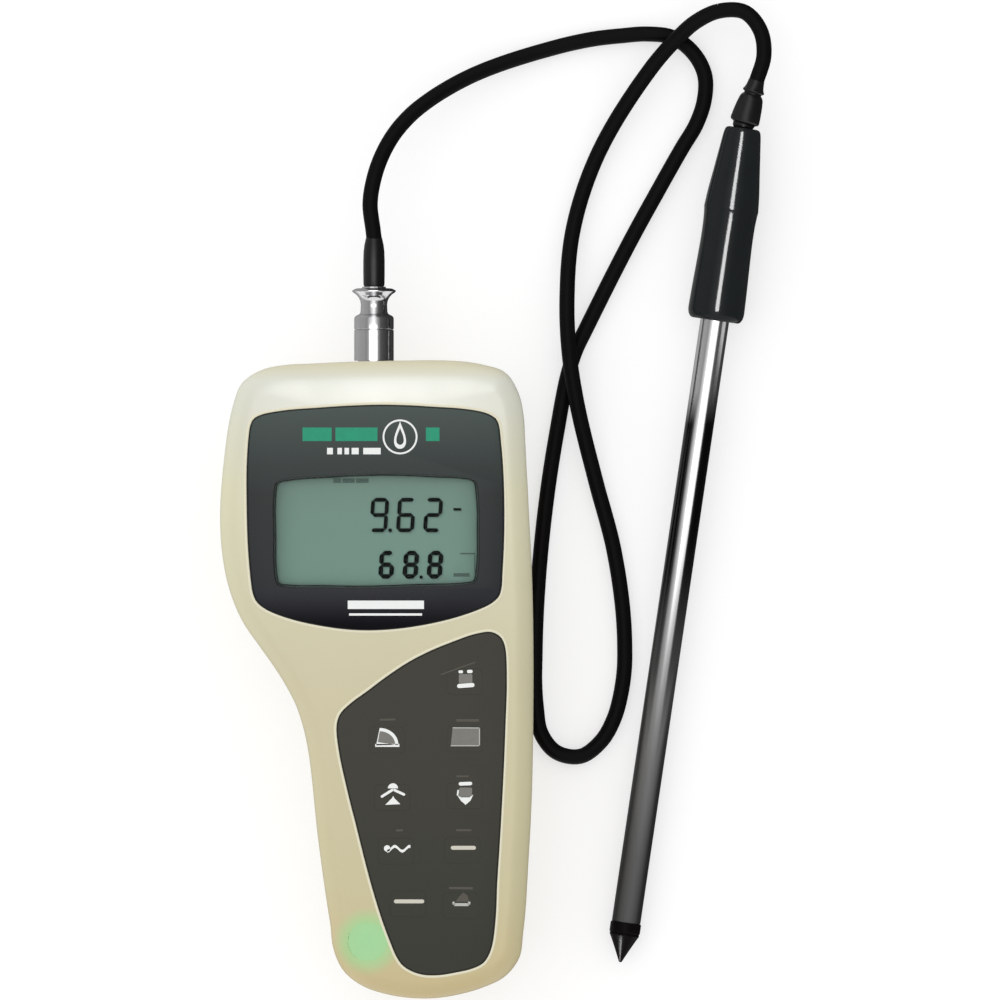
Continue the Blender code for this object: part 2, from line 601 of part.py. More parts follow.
def main():
    clear_scene()
    case = flat(evenly(spline(CASE_OUTLINE, 12), CASE_POINTS))
    bezel = flat(spline(BEZEL_OUTLINE, 2))
    window = flat(spline(WINDOW_OUTLINE, 2))
    keypad = flat(spline(KEYPAD_OUTLINE, 2))
    make_case(case, bezel, window, keypad)
    make_keys()
    make_screws()
    make_display()
    make_electronics()
    make_battery()
    make_battery_door()
    along_y = Matrix.Rotation(-pi / 2, 3, "X").to_quaternion()
    make_jack(empty("jack_axis", (JACK_X, 0, SPLIT_Z), along_y))
    plug_axis = empty("plug_axis", (JACK_X, 0, SPLIT_Z), along_y)
    make_plug(plug_axis)
    make_coupling_ring(empty("ring_axis", (0, 0, 0), parent=plug_axis))
    make_cable()
    axis = probe_frame()
    bpy.context.view_layer.update()
    make_handle(axis)
    make_strain_relief(axis)
    make_tube(axis)
    make_tip(axis)


main()
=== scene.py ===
"""Looks for a handheld conductivity meter with a pointed stainless probe on a looped cable.

The meter lies on its back on a pale floor and is seen from straight above. Lengths are in millimetres
and become metres when a mesh is made: +X is to the right of the display, +Y runs towards the connector,
+Z comes out of the display. Outlines are complex numbers x + iy, listed anticlockwise.
"""

import json
from math import cos, pi, radians, sin, sqrt, tau

import bmesh
import bpy
import numpy as np
from mathutils import Matrix, Vector


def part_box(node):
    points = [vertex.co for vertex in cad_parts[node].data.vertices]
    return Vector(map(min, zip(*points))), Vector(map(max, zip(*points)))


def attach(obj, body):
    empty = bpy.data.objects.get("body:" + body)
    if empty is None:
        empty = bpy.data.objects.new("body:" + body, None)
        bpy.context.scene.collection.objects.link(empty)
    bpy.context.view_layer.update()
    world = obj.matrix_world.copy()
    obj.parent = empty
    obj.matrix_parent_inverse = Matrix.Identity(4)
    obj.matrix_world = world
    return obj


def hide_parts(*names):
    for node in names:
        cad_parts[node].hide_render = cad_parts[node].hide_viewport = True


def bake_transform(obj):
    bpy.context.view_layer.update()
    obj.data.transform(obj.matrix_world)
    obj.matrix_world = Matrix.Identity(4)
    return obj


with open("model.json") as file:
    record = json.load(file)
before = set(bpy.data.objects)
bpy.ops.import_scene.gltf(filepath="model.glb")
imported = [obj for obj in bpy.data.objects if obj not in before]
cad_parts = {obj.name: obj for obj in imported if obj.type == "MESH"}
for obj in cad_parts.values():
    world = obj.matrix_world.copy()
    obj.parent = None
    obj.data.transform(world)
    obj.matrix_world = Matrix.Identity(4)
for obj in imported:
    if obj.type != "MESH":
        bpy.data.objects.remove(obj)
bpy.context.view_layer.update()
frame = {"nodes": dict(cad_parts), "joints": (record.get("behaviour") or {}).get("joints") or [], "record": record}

MM = 0.001

# Fineness of the surfaces
CASE_POINTS = 300
PANEL_POINTS = 220
ROUND_SIDES = 64
FINE_SIDES = 96
CABLE_SIDES = 24
CABLE_STEP = 1.2  # between the cable's rings
EDGE_ANGLE = radians(32)
BEVEL_ANGLE = radians(50)

# ---------------------------------------------------------------- the frame in millimetres


def corners(node):
    """The lowest and the highest corner of a CAD node."""
    low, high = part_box(node)
    return low / MM, high / MM


def middle(node):
    low, high = corners(node)
    return (low + high) / 2


def centre_of(node):
    """The node's middle seen from above, as x + iy."""
    return complex(*middle(node).xy)


def size_of(node):
    """The node's width and height seen from above."""
    low, high = corners(node)
    return tuple((high - low).xy)


def top_of(node):
    return corners(node)[1].z


def ends_along_y(node):
    low, high = corners(node)
    return low.y, high.y


def upright(node):
    """Local Z upwards from the floor through the node's middle."""
    place = middle(node)
    return Matrix.Translation((place.x, place.y, 0))


def label_radius():
    return size_of("round_label")[0] / 2


def nodes_starting(start):
    return [row["node"] for row in frame["record"]["subparts"] if row["node"].startswith(start)]


def vertices(node):
    return np.array([v.co for v in frame["nodes"][node].data.vertices]) / MM


def outline_at(node, height, centre):
    """The node's corner points at one height, once each, anticlockwise about a centre."""
    points = vertices(node)
    points = points[abs(points[:, 2] - height) < 0.02]
    places = np.unique(np.round(points[:, 0] + 1j * points[:, 1], 2))
    return places[np.argsort(np.angle(places - centre))]


# ---------------------------------------------------------------- curves


def spline(points, steps, closed=True):
    """A centripetal Catmull-Rom curve through the given points, with so many steps between neighbours."""
    points = np.array(points)
    if points.ndim == 1:
        points = np.column_stack([points.real, points.imag])
    if closed:
        points = np.vstack([points[-1:], points, points[:2]])
    else:
        points = np.vstack([2 * points[0] - points[1], points, 2 * points[-1] - points[-2]])
    curve = []
    for p0, p1, p2, p3 in zip(points, points[1:], points[2:], points[3:]):
        t1, t2, t3 = np.cumsum([np.linalg.norm(b - a) ** 0.5 for a, b in ((p0, p1), (p1, p2), (p2, p3))])
        for t in np.linspace(t1, t2, steps, endpoint=False):
            a1 = (t1 - t) / t1 * p0 + t / t1 * p1
            a2 = (t2 - t) / (t2 - t1) * p1 + (t - t1) / (t2 - t1) * p2
            a3 = (t3 - t) / (t3 - t2) * p2 + (t - t2) / (t3 - t2) * p3
            b1 = (t2 - t) / t2 * a1 + t / t2 * a2
            b2 = (t3 - t) / (t3 - t1) * a2 + (t - t1) / (t3 - t1) * a3
            curve.append((t2 - t) / (t2 - t1) * b1 + (t - t1) / (t2 - t1) * b2)
    if not closed:
        curve.append(points[-2])
    return np.array(curve)


def evenly(curve, count, closed=True):
    """The same curve as so many points at equal distances."""
    path = np.vstack([curve, curve[:1]]) if closed else curve
    along = np.concatenate([[0], np.cumsum(np.linalg.norm(np.diff(path, axis=0), axis=1))])
    stations = np.linspace(0, along[-1], count, endpoint=not closed)
    return np.column_stack([np.interp(stations, along, axis) for axis in path.T])


def fine(outline, count):
    """A smooth outline with so many points through the corner points of a coarse one."""
    curve = evenly(spline(outline, 12), count)
    return curve[:, 0] + 1j * curve[:, 1]


def inset(curve, distance):
    """The outline moved inwards, or outwards when negative, and evened out so that corners stay round."""
    steps = max(1, round(abs(distance)))
    for _ in range(steps):
        ahead, behind = np.roll(curve, -1), np.roll(curve, 1)
        along = (ahead - behind) / abs(ahead - behind)
        curve = curve + 1j * along * distance / steps
        centre = (np.roll(curve, -1) + np.roll(curve, 1)) / 2
        curve = curve + along * ((centre - curve) / along).real
    return curve


def rectangle(centre, size, radius=1.0, steps=6):
    """A rounded rectangle."""
    width, height = size
    places = [
        centre + complex(sx * (width / 2 - radius), sy * (height / 2 - radius))
        for sx, sy in ((1, 1), (-1, 1), (-1, -1), (1, -1))
    ]
    return np.array([
        place + radius * np.exp(1j * pi / 2 * (quarter + step / steps))
        for quarter, place in enumerate(places)
        for step in range(steps + 1)
    ])


def circle(centre, radius, count=ROUND_SIDES):
    return centre + radius * np.exp(1j * tau * np.arange(count) / count)


def level(curve, z):
    """An outline as a ring of points at one height."""
    return [(p.real, p.imag, z) for p in curve]


def ease(x, low, high):
    """0 below low, 1 above high, smooth between."""
    t = np.clip((x - low) / (high - low), 0, 1)
    return t * t * (3 - 2 * t)


# ---------------------------------------------------------------- meshes


def mesh_object(name, bm, paint=None):
    bmesh.ops.recalc_face_normals(bm, faces=bm.faces)
    mesh = bpy.data.meshes.new(name)
    bm.to_mesh(mesh)
    bm.free()
    mesh.shade_smooth()
    mesh.set_sharp_from_angle(angle=EDGE_ANGLE)
    obj = bpy.data.objects.new(name, mesh)
    bpy.context.scene.collection.objects.link(obj)
    if paint:
        mesh.materials.append(PAINTS[paint])
    return obj


def skin(bm, rings, wrap=False, place=None):
    """Adds a solid skinned over rings of points; a ring of one point closes to a tip. With wrap the
    last ring joins the first, otherwise the end rings are capped."""
    place = place or Matrix.Identity(4)
    loops = [[bm.verts.new(place @ Vector(p) * MM) for p in ring] for ring in rings]
    pairs = list(zip(loops, loops[1:])) + ([(loops[-1], loops[0])] if wrap else [])
    for lower, upper in pairs:
        size = max(len(lower), len(upper))
        for k in range(size):
            around = [lower[k % len(lower)], lower[(k + 1) % len(lower)]]
            around += [upper[(k + 1) % len(upper)], upper[k % len(upper)]]
            bm.faces.new(list(dict.fromkeys(around)))
    if not wrap:
        for cap in (loops[0], loops[-1]):
            if len(cap) > 2:
                bm.faces.new(cap)


def solid(name, rings, paint=None, wrap=False, place=None):
    bm = bmesh.new()
    skin(bm, rings, wrap, place)
    return mesh_object(name, bm, paint)


def plate(name, curve, bottom, top):
    return solid(name, [level(curve, bottom), level(curve, top)])


def softened_plate(name, curve, bottom, top, edge, paint, steps=4):
    """A plate with a rounded upper edge."""
    rings = [level(curve, bottom)]
    for angle in np.linspace(0, pi / 2, steps + 1):
        rings.append(level(inset(curve, edge * (1 - cos(angle))), top - edge * (1 - sin(angle))))
    return solid(name, rings, paint)


def turned(name, profile, paint, place=None, hollow=False, sides=ROUND_SIDES):
    """A profile of (radius, height) pairs turned about the local Z axis."""
    rings = [
        level(circle(0, radius, sides), z) if radius > 1e-6 else [(0, 0, z)] for radius, z in profile
    ]
    return solid(name, rings, paint, wrap=hollow, place=place)


def rod_rings(path, radii, sides, round_start, round_end):
    """Rings of a round rod along a path, with half-ball ends where asked."""
    path = [Vector(p) for p in path]
    across = (path[1] - path[0]).orthogonal().normalized()
    rings = []
    last = len(path) - 1
    for k, (point, radius) in enumerate(zip(path, radii)):
        forward = (path[min(k + 1, last)] - path[max(k - 1, 0)]).normalized()
        across = (across - forward * across.dot(forward)).normalized()
        up = forward.cross(across)
        end = -1 if k == 0 and round_start else 1 if k == last and round_end else 0
        slices = [
            [
                tuple(point + forward * end * radius * sin(lean)
                      + (across * cos(turn) + up * sin(turn)) * radius * cos(lean))
                for turn in (tau * n / sides for n in range(sides))
            ]
            for lean in ([radians(a) for a in (0, 22, 45, 68)] if end else [0])
        ]
        if end:
            slices.append([tuple(point + forward * end * radius)])
        rings += slices[::-1] if end < 0 else slices
    return rings


def settle(obj):
    """Makes the shape that the object's modifiers give its own mesh."""
    graph = bpy.context.evaluated_depsgraph_get()
    mesh = bpy.data.meshes.new_from_object(obj.evaluated_get(graph))
    obj.modifiers.clear()
    obj.data = mesh


def cut(target, others):
    """Cuts the other solids from the target and removes them."""
    for other in others:
        modifier = target.modifiers.new(other.name, "BOOLEAN")
        modifier.operation = "DIFFERENCE"
        modifier.object = other
    settle(target)
    for other in others:
        bpy.data.objects.remove(other)
    target.data.shade_smooth()
    target.data.set_sharp_from_angle(angle=EDGE_ANGLE)


def weigh_normals(obj):
    """Keeps broad flat faces flat in the shading."""
    normals = obj.modifiers.new("normals", "WEIGHTED_NORMAL")
    normals.keep_sharp = True


def soften(obj, width, segments=2):
    """Small rounded edges, kept as modifiers so that flat faces stay flat."""
    bevel = obj.modifiers.new("edges", "BEVEL")
    bevel.width = width * MM
    bevel.segments = segments
    bevel.limit_method = "ANGLE"
    bevel.angle_limit = BEVEL_ANGLE
    bevel.miter_outer = "MITER_ARC"
    bevel.use_clamp_overlap = True
    weigh_normals(obj)


def stand_for(obj, body, slot, *nodes):
    """Puts a finished piece on its body, in place of CAD nodes where they are named."""
    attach(obj, body)
    if nodes:
        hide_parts(*nodes)


# ---------------------------------------------------------------- materials


def screen(red, green, blue):
    """A colour given as 0-255 screen values, made linear."""
    parts = (c / 255 for c in (red, green, blue))
    return tuple(c / 12.92 if c < 0.04045 else ((c + 0.055) / 1.055) ** 2.4 for c in parts) + (1.0,)


def grey(value):
    """A linear grey."""
    return (value, value, value, 1.0)


def add_node(tree, kind, inputs=None, **settings):
    """A shader node. An input is a value, or a socket of another node."""
    node = tree.nodes.new("ShaderNode" + kind)
    for key, value in settings.items():
        setattr(node, key, value)
    for key, value in (inputs or {}).items():
        if isinstance(value, bpy.types.NodeSocket):
            tree.links.new(value, node.inputs[key])
        else:
            node.inputs[key].default_value = value
    return node


def maths(tree, operation, first, second=0.0):
    """A sum, product or other function of one or two values."""
    return add_node(tree, "Math", {0: first, 1: second}, operation=operation).outputs[0]


def distance_from(tree, place, node):
    """How far a place is from the middle of a CAD node, in metres."""
    there = tuple(middle(node) * MM)
    return add_node(tree, "VectorMath", {0: place, 1: there}, operation="DISTANCE").outputs["Value"]


def blend_colours(tree, share, first, second, mode="MIX"):
    """The second colour over the first by its share. Sockets 6, 7 and 2 are the node's colours."""
    sockets = {0: share, 6: first, 7: second}
    return add_node(tree, "Mix", sockets, data_type="RGBA", blend_type=mode).outputs[2]


def ramp(tree, value, stops):
    """Colours at values between 0 and 1."""
    node = add_node(tree, "ValToRGB", {"Fac": value})
    elements = node.color_ramp.elements
    for k, (position, colour) in enumerate(stops):
        element = elements[k] if k < 2 else elements.new(position)
        element.position = position
        element.color = colour
    return node.outputs["Color"]


def stretch(tree, value, low, high, smooth=True):
    """The value as a share of the way from low to high."""
    kind = "SMOOTHSTEP" if smooth else "LINEAR"
    return add_node(tree, "MapRange", {"Value": value, "From Min": low, "From Max": high},
                    interpolation_type=kind).outputs["Result"]


def grains(tree, place, size, detail=3.0, roughness=0.5):
    """Noise whose grains are so many millimetres across."""
    inputs = {"Vector": place, "Scale": 1 / (size * MM), "Detail": detail, "Roughness": roughness}
    return add_node(tree, "TexNoise", inputs).outputs["Fac"]


class Finish:
    """A material under construction: its node tree, Principled shader and the piece's coordinates."""

    def __init__(self, name, specular=0.5):
        self.material = bpy.data.materials.new(name)
        self.material.use_nodes = True
        self.tree = self.material.node_tree
        self.shader = self.tree.nodes["Principled BSDF"]
        self.place = add_node(self.tree, "TexCoord").outputs["Object"]
        parts = add_node(self.tree, "SeparateXYZ", {0: self.place}).outputs
        self.x, self.y = parts["X"], parts["Y"]
        self.set("Specular IOR Level", specular)

    def set(self, name, value):
        if isinstance(value, bpy.types.NodeSocket):
            self.tree.links.new(value, self.shader.inputs[name])
        else:
            self.shader.inputs[name].default_value = value

    def along_y(self, stops):
        """Colours at distances along Y in millimetres, smooth between them."""
        low, high = stops[0][0], stops[-1][0]
        share = stretch(self.tree, self.y, low * MM, high * MM, smooth=False)
        return ramp(self.tree, share, [((y - low) / (high - low), colour) for y, colour in stops])

    def dress(
        self, colour, roughness, metallic=0.0, mottle=0.04, patch=14.0, grain=0.5, bump=0.01, wear=0.06
    ):
        """Base colour with soft mottling, uneven roughness and a fine raised grain."""
        tree = self.tree
        patches = grains(tree, self.place, patch)
        tint = ramp(tree, patches, [(0.1, grey(1 - mottle)), (0.9, grey(1 + mottle))])
        fleck = grains(tree, self.place, grain, 4.0, 0.6)
        speck = ramp(tree, fleck, [(0.3, grey(1 - mottle / 2)), (0.7, grey(1 + mottle / 2))])
        mottled = blend_colours(tree, 1.0, colour, tint, "MULTIPLY")
        self.set("Base Color", blend_colours(tree, 1.0, mottled, speck, "MULTIPLY"))
        limits = {"From Min": 0.1, "From Max": 0.9, "To Min": roughness - wear, "To Max": roughness + wear}
        uneven = add_node(tree, "MapRange", {"Value": patches, **limits})
        self.set("Roughness", uneven.outputs["Result"])
        self.set("Metallic", metallic)
        raised = add_node(tree, "Bump", {"Height": fleck, "Distance": bump * MM, "Strength": 1.0})
        self.set("Normal", raised.outputs["Normal"])
        return self.material


def cream_plastic():
    """Moulded shell with painted light and shade: paler and cooler at the head as painted highlight, darker and
    yellower towards the grip's end as painted shade, toned along its sides by painted light and shade, and tinted
    by a painted green glow round the spot.
    """
    made = Finish("cream_plastic")
    tree = made.tree
    # Painted light and shade along Y: paler and cooler over the head where the highlight falls, darker and
    # yellower towards the grip's end as painted shade.
    base = made.along_y([
        (-99, screen(199, 181, 134)), (-62, screen(201, 192, 154)), (0, screen(204, 196, 163)),
        (60, screen(213, 210, 182)), (84, screen(215, 215, 202)), (93, screen(214, 215, 204)),
        (97, screen(212, 208, 184)), (100, screen(211, 205, 174)),
    ])
    # Painted light and shade along the left and right sides: the colour there is pulled a quarter of the way
    # towards one rim tone.
    edge = stretch(tree, maths(tree, "ABSOLUTE", made.x), 0.030, 0.052)
    painted_light_colour = blend_colours(tree, maths(tree, "MULTIPLY", edge, 0.25), base, screen(210, 208, 172))
    # Painted green glow spreading onto the shell round the spot.
    spot_glow_share = stretch(tree, distance_from(tree, made.place, "round_label"), 0.0115, 0.006)
    painted_light_colour = blend_colours(tree, maths(tree, "MULTIPLY", spot_glow_share, 0.85), painted_light_colour, screen(166, 209, 146))
    return made.dress(painted_light_colour, 0.33, mottle=0.018, patch=22, grain=0.45, bump=0.006)


def dark_trim():
    """Printed bezel with painted light and shade: greyer at the top where the light falls, nearly black at the
    lower edge as painted shade.
    """
    made = Finish("dark_trim")
    # Painted light and shade: grey where the light falls on the upper part, near black along the lower edge.
    base = made.along_y([
        (15, screen(10, 10, 14)), (20, screen(20, 20, 25)), (26, screen(34, 35, 41)),
        (32, screen(37, 40, 42)), (58, screen(44, 47, 47)), (72, screen(56, 64, 62)),
        (86, screen(70, 80, 77)),
    ])
    made.set("Specular IOR Level", made.along_y([(18, grey(0.04)), (28, grey(0.25))]))
    return made.dress(base, 0.28, mottle=0.03, patch=9, grain=0.3, bump=0.002)


def keypad_film():
    """Printed membrane with a fine grain."""
    made = Finish("keypad_film", 0.25)
    base = made.along_y([(-90, screen(52, 53, 45)), (-30, screen(60, 59, 51)), (15, screen(61, 59, 52))])
    return made.dress(base, 0.45, mottle=0.04, patch=12, grain=0.35, bump=0.004)


def clear_lens():
    """A thin clear sheet: light passes straight through, and its front faces reflect a little."""
    material = bpy.data.materials.new("clear_lens")
    material.use_nodes = True
    tree = material.node_tree
    tree.nodes.remove(tree.nodes["Principled BSDF"])
    place = add_node(tree, "TexCoord").outputs["Object"]
    smear = grains(tree, place, 18)
    rough = add_node(tree, "MapRange", {"Value": smear, "To Min": 0.03, "To Max": 0.12}).outputs["Result"]
    clear = add_node(tree, "BsdfTransparent", {"Color": (0.97, 0.985, 0.975, 1)})
    gloss = add_node(tree, "BsdfGlossy", {"Color": grey(0.35), "Roughness": rough})
    share = add_node(tree, "Fresnel", {"IOR": 1.3})
    front = add_node(tree, "MixShader", {0: share.outputs[0], 1: clear.outputs[0], 2: gloss.outputs[0]})
    behind = add_node(tree, "NewGeometry").outputs["Backfacing"]
    both = add_node(tree, "MixShader", {0: behind, 1: front.outputs[0], 2: clear.outputs[0]})
    tree.links.new(both.outputs[0], tree.nodes["Material Output"].inputs["Surface"])
    return material


def display_glass():
    """Grey-green reflective liquid crystal, with painted shade making it a little darker towards its edges."""
    made = Finish("display_glass", 0.2)
    low, high = corners("display_window")
    centre, half = (low + high) / 2, (high - low) / 2
    tree = made.tree
    # Painted shade: darker towards the window's edges, where the recess shades the display.
    sides = []
    for value, axis in ((made.x, 0), (made.y, 1)):
        away = maths(tree, "ABSOLUTE", maths(tree, "SUBTRACT", value, centre[axis] * MM))
        sides.append(stretch(tree, away, half[axis] * 0.72 * MM, half[axis] * 1.02 * MM))
    share = maths(tree, "MULTIPLY", maths(tree, "MAXIMUM", *sides), 0.45)
    base = made.along_y([
        (29, screen(122, 151, 141)), (46, screen(121, 149, 139)), (64, screen(122, 146, 137)),
    ])
    colour = blend_colours(tree, share, base, screen(108, 133, 125))
    return made.dress(colour, 0.3, mottle=0.02, patch=20, grain=0.25, bump=0.001)


def polished_steel():
    """The connector's bright nickel with faint turning marks round its axis."""
    made = Finish("polished_steel")
    marks = {"Vector": made.place, "Scale": 900.0, "Distortion": 1.5, "Detail": 2.0}
    wave = add_node(made.tree, "TexWave", marks, bands_direction="Y")
    dim, bright = (0.70, 0.70, 0.71, 1), (0.80, 0.80, 0.81, 1)
    colour = ramp(made.tree, wave.outputs["Fac"], [(0.0, dim), (1.0, bright)])
    return made.dress(colour, 0.14, metallic=1.0, mottle=0.03, patch=4, grain=0.3, bump=0.001, wear=0.04)


def tube_steel():
    """The probe's stainless tube, drawn lengthwise, with painted shade: darker towards the tip, where its
    reflection fades, and darker on its flanks.
    """
    made = Finish("tube_steel", 0.2)
    tree = made.tree
    # Painted shade: the tube's colour falls from bright near the handle to dark near the tip, standing in for its
    # fading reflection.
    colour = made.along_y([
        (-95, grey(0.065)), (-55, grey(0.095)), (-25, grey(0.16)), (4, grey(0.30)), (34, grey(0.58)),
        (54, grey(0.82)), (115, grey(0.86)),
    ])
    lines = add_node(tree, "Mapping", {"Vector": made.place, "Scale": (1, 0.03, 1)}).outputs[0]
    drawn = ramp(tree, grains(tree, lines, 0.5), [(0.3, grey(0.93)), (0.7, grey(1.0))])
    streaked = blend_colours(tree, 1.0, colour, drawn, "MULTIPLY")
    # Painted shade on the flanks: narrow near the handle, broad towards the tip.
    facing = add_node(tree, "LayerWeight", {"Blend": 0.5}).outputs["Facing"]
    upper_flank_shade = [(-30, grey(0.0)), (4, grey(0.75)), (34, grey(0.93)), (80, grey(0.95)), (90, grey(0.0))]
    lower_flank_shade = [(-30, grey(0.9)), (4, grey(0.8)), (40, grey(0.0)), (90, grey(0.0))]
    flank_shades = [
        maths(tree, "MULTIPLY", stretch(tree, facing, low, high), made.along_y(stops))
        for low, high, stops in ((0.045, 0.11, upper_flank_shade), (0.02, 0.45, lower_flank_shade))
    ]
    shaded = blend_colours(tree, maths(tree, "MAXIMUM", *flank_shades), streaked, grey(0.01))
    made.dress(shaded, 0.16, mottle=0.03, patch=10, grain=0.4, bump=0.0008)
    made.set("Metallic", stretch(tree, made.y, -0.03, 0.05))
    limits = {"Value": made.y, "From Min": 0.02, "From Max": -0.06, "To Min": 0.15, "To Max": 0.42}
    made.set("Roughness", add_node(tree, "MapRange", limits).outputs["Result"])
    return made.material


def round_spot():
    """Pale green label, a little yellower at its rim."""
    made = Finish("round_spot")
    away = distance_from(made.tree, made.place, "round_label")
    share = stretch(made.tree, away, 0.0, label_radius() * MM, smooth=False)
    colour = ramp(made.tree, share, [
        (0.0, screen(156, 210, 151)), (0.55, screen(158, 210, 149)), (1.0, screen(160, 209, 147)),
    ])
    made.set("Coat Weight", 0.4)
    made.set("Coat Roughness", 0.1)
    return made.dress(colour, 0.3, mottle=0.03, patch=3, grain=0.3, bump=0.002)


def plain_finish(name, colour, roughness, metallic=0.0, specular=0.3, **look):
    """A finish of one colour."""
    made = Finish(name, 0.5 if metallic else specular)
    return made.dress(colour, roughness, metallic, **look)


PAINTS = {
    "cream_plastic": cream_plastic(),
    "dark_trim": dark_trim(),
    "keypad": keypad_film(),
    "clear_plastic": clear_lens(),
    "lcd_glass": display_glass(),
    "polished_steel": polished_steel(),
    "tube_steel": tube_steel(),
    "green_label": round_spot(),
}

# Finishes of one colour: its screen values, the roughness and what else differs
PLAIN = {
    "black_handle": (
        (31, 34, 35), 0.11, dict(specular=0.15, mottle=0.08, patch=6, grain=1.6, bump=0.004, wear=0.03)
    ),
    "black_rubber": ((15, 14, 14), 0.42, dict(specular=0.06, mottle=0.1, patch=5, grain=0.4, bump=0.006)),
    "boot_rubber": ((20, 19, 19), 0.30, dict(specular=0.45, mottle=0.1, patch=5, grain=0.4, bump=0.006)),
    "tip_black": ((15, 12, 12), 0.24, dict(specular=0.04, mottle=0.15, patch=3, grain=0.4, bump=0.006)),
    "circuit_board": ((25, 98, 44), 0.35, dict(mottle=0.12, patch=2.5)),
    "black_component": ((40, 40, 41), 0.5, dict(mottle=0.1, bump=0.008)),
    "silicone": ((148, 147, 143), 0.6, dict(mottle=0.06, bump=0.01)),
    "battery_jacket": ((52, 56, 64), 0.3, dict(metallic=0.4, mottle=0.06)),
    "screw_steel": ((196, 196, 198), 0.28, dict(metallic=1.0, patch=1.5, grain=0.2)),
    "gold_contact": ((226, 190, 104), 0.22, dict(metallic=1.0, patch=1.5)),
    "white_insulator": ((226, 223, 214), 0.45, dict(mottle=0.04)),
    "wire_jacket": ((150, 38, 32), 0.45, dict(mottle=0.08, patch=2)),
    # Paler than the shell: painted highlight along the recess rims.
    "highlight_cream_rim": ((226, 221, 196), 0.3, dict(mottle=0.015, patch=20)),
}
PRINT_BUMP = 0.001
PRINTS = {
    "green_print": ((36, 148, 114), 0.4, dict(mottle=0.12, patch=3, grain=0.3)),
    "white_print": ((238, 240, 238), 0.4, dict(mottle=0.03, patch=2)),
    "soft_print": ((206, 203, 189), 0.4, dict(mottle=0.04, patch=2)),
    "grey_print": ((186, 186, 180), 0.4, dict(mottle=0.06, patch=2)),
    "dim_print": ((122, 120, 114), 0.4, dict(mottle=0.08, patch=2)),
    "faint_print": ((82, 79, 71), 0.4, dict(mottle=0.08, patch=2)),
    # Painted shadow: near-black strips in the gaps round the panels and round the display window.
    "painted_shadow_line": ((22, 24, 24), 0.35, dict(mottle=0.06, patch=3)),
    "lcd_ink": ((2, 8, 7), 0.35, dict(specular=0.05, mottle=0.08, patch=2)),
    "lcd_shadow": ((106, 133, 124), 0.35, dict(mottle=0.04, patch=3)),
    "lcd_shade": ((75, 95, 89), 0.35, dict(mottle=0.04, patch=3)),
}
for name, (colour, roughness, look) in PLAIN.items():
    PAINTS[name] = plain_finish(name, screen(*colour), roughness, **look)
for name, (colour, roughness, look) in PRINTS.items():
    PAINTS[name] = plain_finish(name, screen(*colour), roughness, bump=PRINT_BUMP, **look)


def dress_cad_nodes():
    """Every CAD node gets its slot's procedural finish, whether or not it stays in view."""
    for row in frame["record"]["subparts"]:
        mesh = frame["nodes"][row["node"]].data
        mesh.materials.clear()
        mesh.materials.append(PAINTS[row["material_slot"]])


# ---------------------------------------------------------------- case

CASE_CENTRE = 5 + 10j  # a point from which the whole outline can be seen
KEYPAD_CENTRE = 18 - 38j  # likewise for the keypad panel
KEY_CLEARANCE = 8.3  # panel points nearer to a key's middle belong to the key's hole
CAD_GAP = 0.3  # gap between a panel and its recess
EDGE_RADIUS = 6.0  # rounded front edge, as in the CAD
HULL_INSET = 8.0  # how far the back narrows, and over what height
HULL_HEIGHT = 16.0
BROW_DEPTH = 7.0  # extra width of the rounded edge above the display
BROW_DROP = 1.0  # and how far its middle lies below a round edge
BROW_RISE = (84, 98)  # along Y, where it sets in and where it is full
BROW_HALF_WIDTH = 52
BROW_FADE = (2, 34)  # distances from its sides over which it grows
SIDE_WALL = 2.2
PARTING_EDGE = 0.35
LIP = 0.35  # rounding of the recesses' edges
PANEL_FIT = 0.05  # how much wider a recess is cut than its panel's outline
PANEL_SEAT = 0.3  # how far a recess goes below its panel
LABEL_DEPTH = 0.9
LABEL_LIFT = 0.015  # the label stands so far above the shell that the two faces don't meet
JACK_HOLE_RADIUS = 5.3
JACK_HOLE_ENDS = (88, 104)
DOOR_GAP = 0.3
DOOR_SCREW_HOLE = 1.6
CASE_SCREW_WELL = (3.1, 3.0)  # radius and depth
HULL_STEPS = (0.15, 0.6, 1.4, 2.6, 4.2, 6.2, 8.6, 11.4, 14.4)  # heights of the back's rings
SEAM_DROP = 0.15  # from a panel's top down to the dark strip of painted shadow beside it
SEAM_HEIGHT = 0.8
SEAM_SLACK = 0.02
ABOVE = 4.0  # cutters end well clear of what they cut


def shell_ring(case, angle, shoulder):
    """A ring of the case's rounded front edge: at 0 it is the side wall, at 90 degrees the flat front.
    Above the display the edge is wider and flatter, so that the head slopes evenly to the connector."""
    low = 1 - cos(angle)
    brow = ease(case.imag, *BROW_RISE) * ease(BROW_HALF_WIDTH - abs(case.real), *BROW_FADE)
    curve = inset(case, EDGE_RADIUS * low) - 1j * BROW_DEPTH * low ** 2 * brow
    drop = BROW_DROP * (1 - low ** 2) * min(1, 2.2 * sin(angle)) * brow
    heights = shoulder + EDGE_RADIUS * sin(angle) - drop
    return [(p.real, p.imag, z) for p, z in zip(curve, heights)]


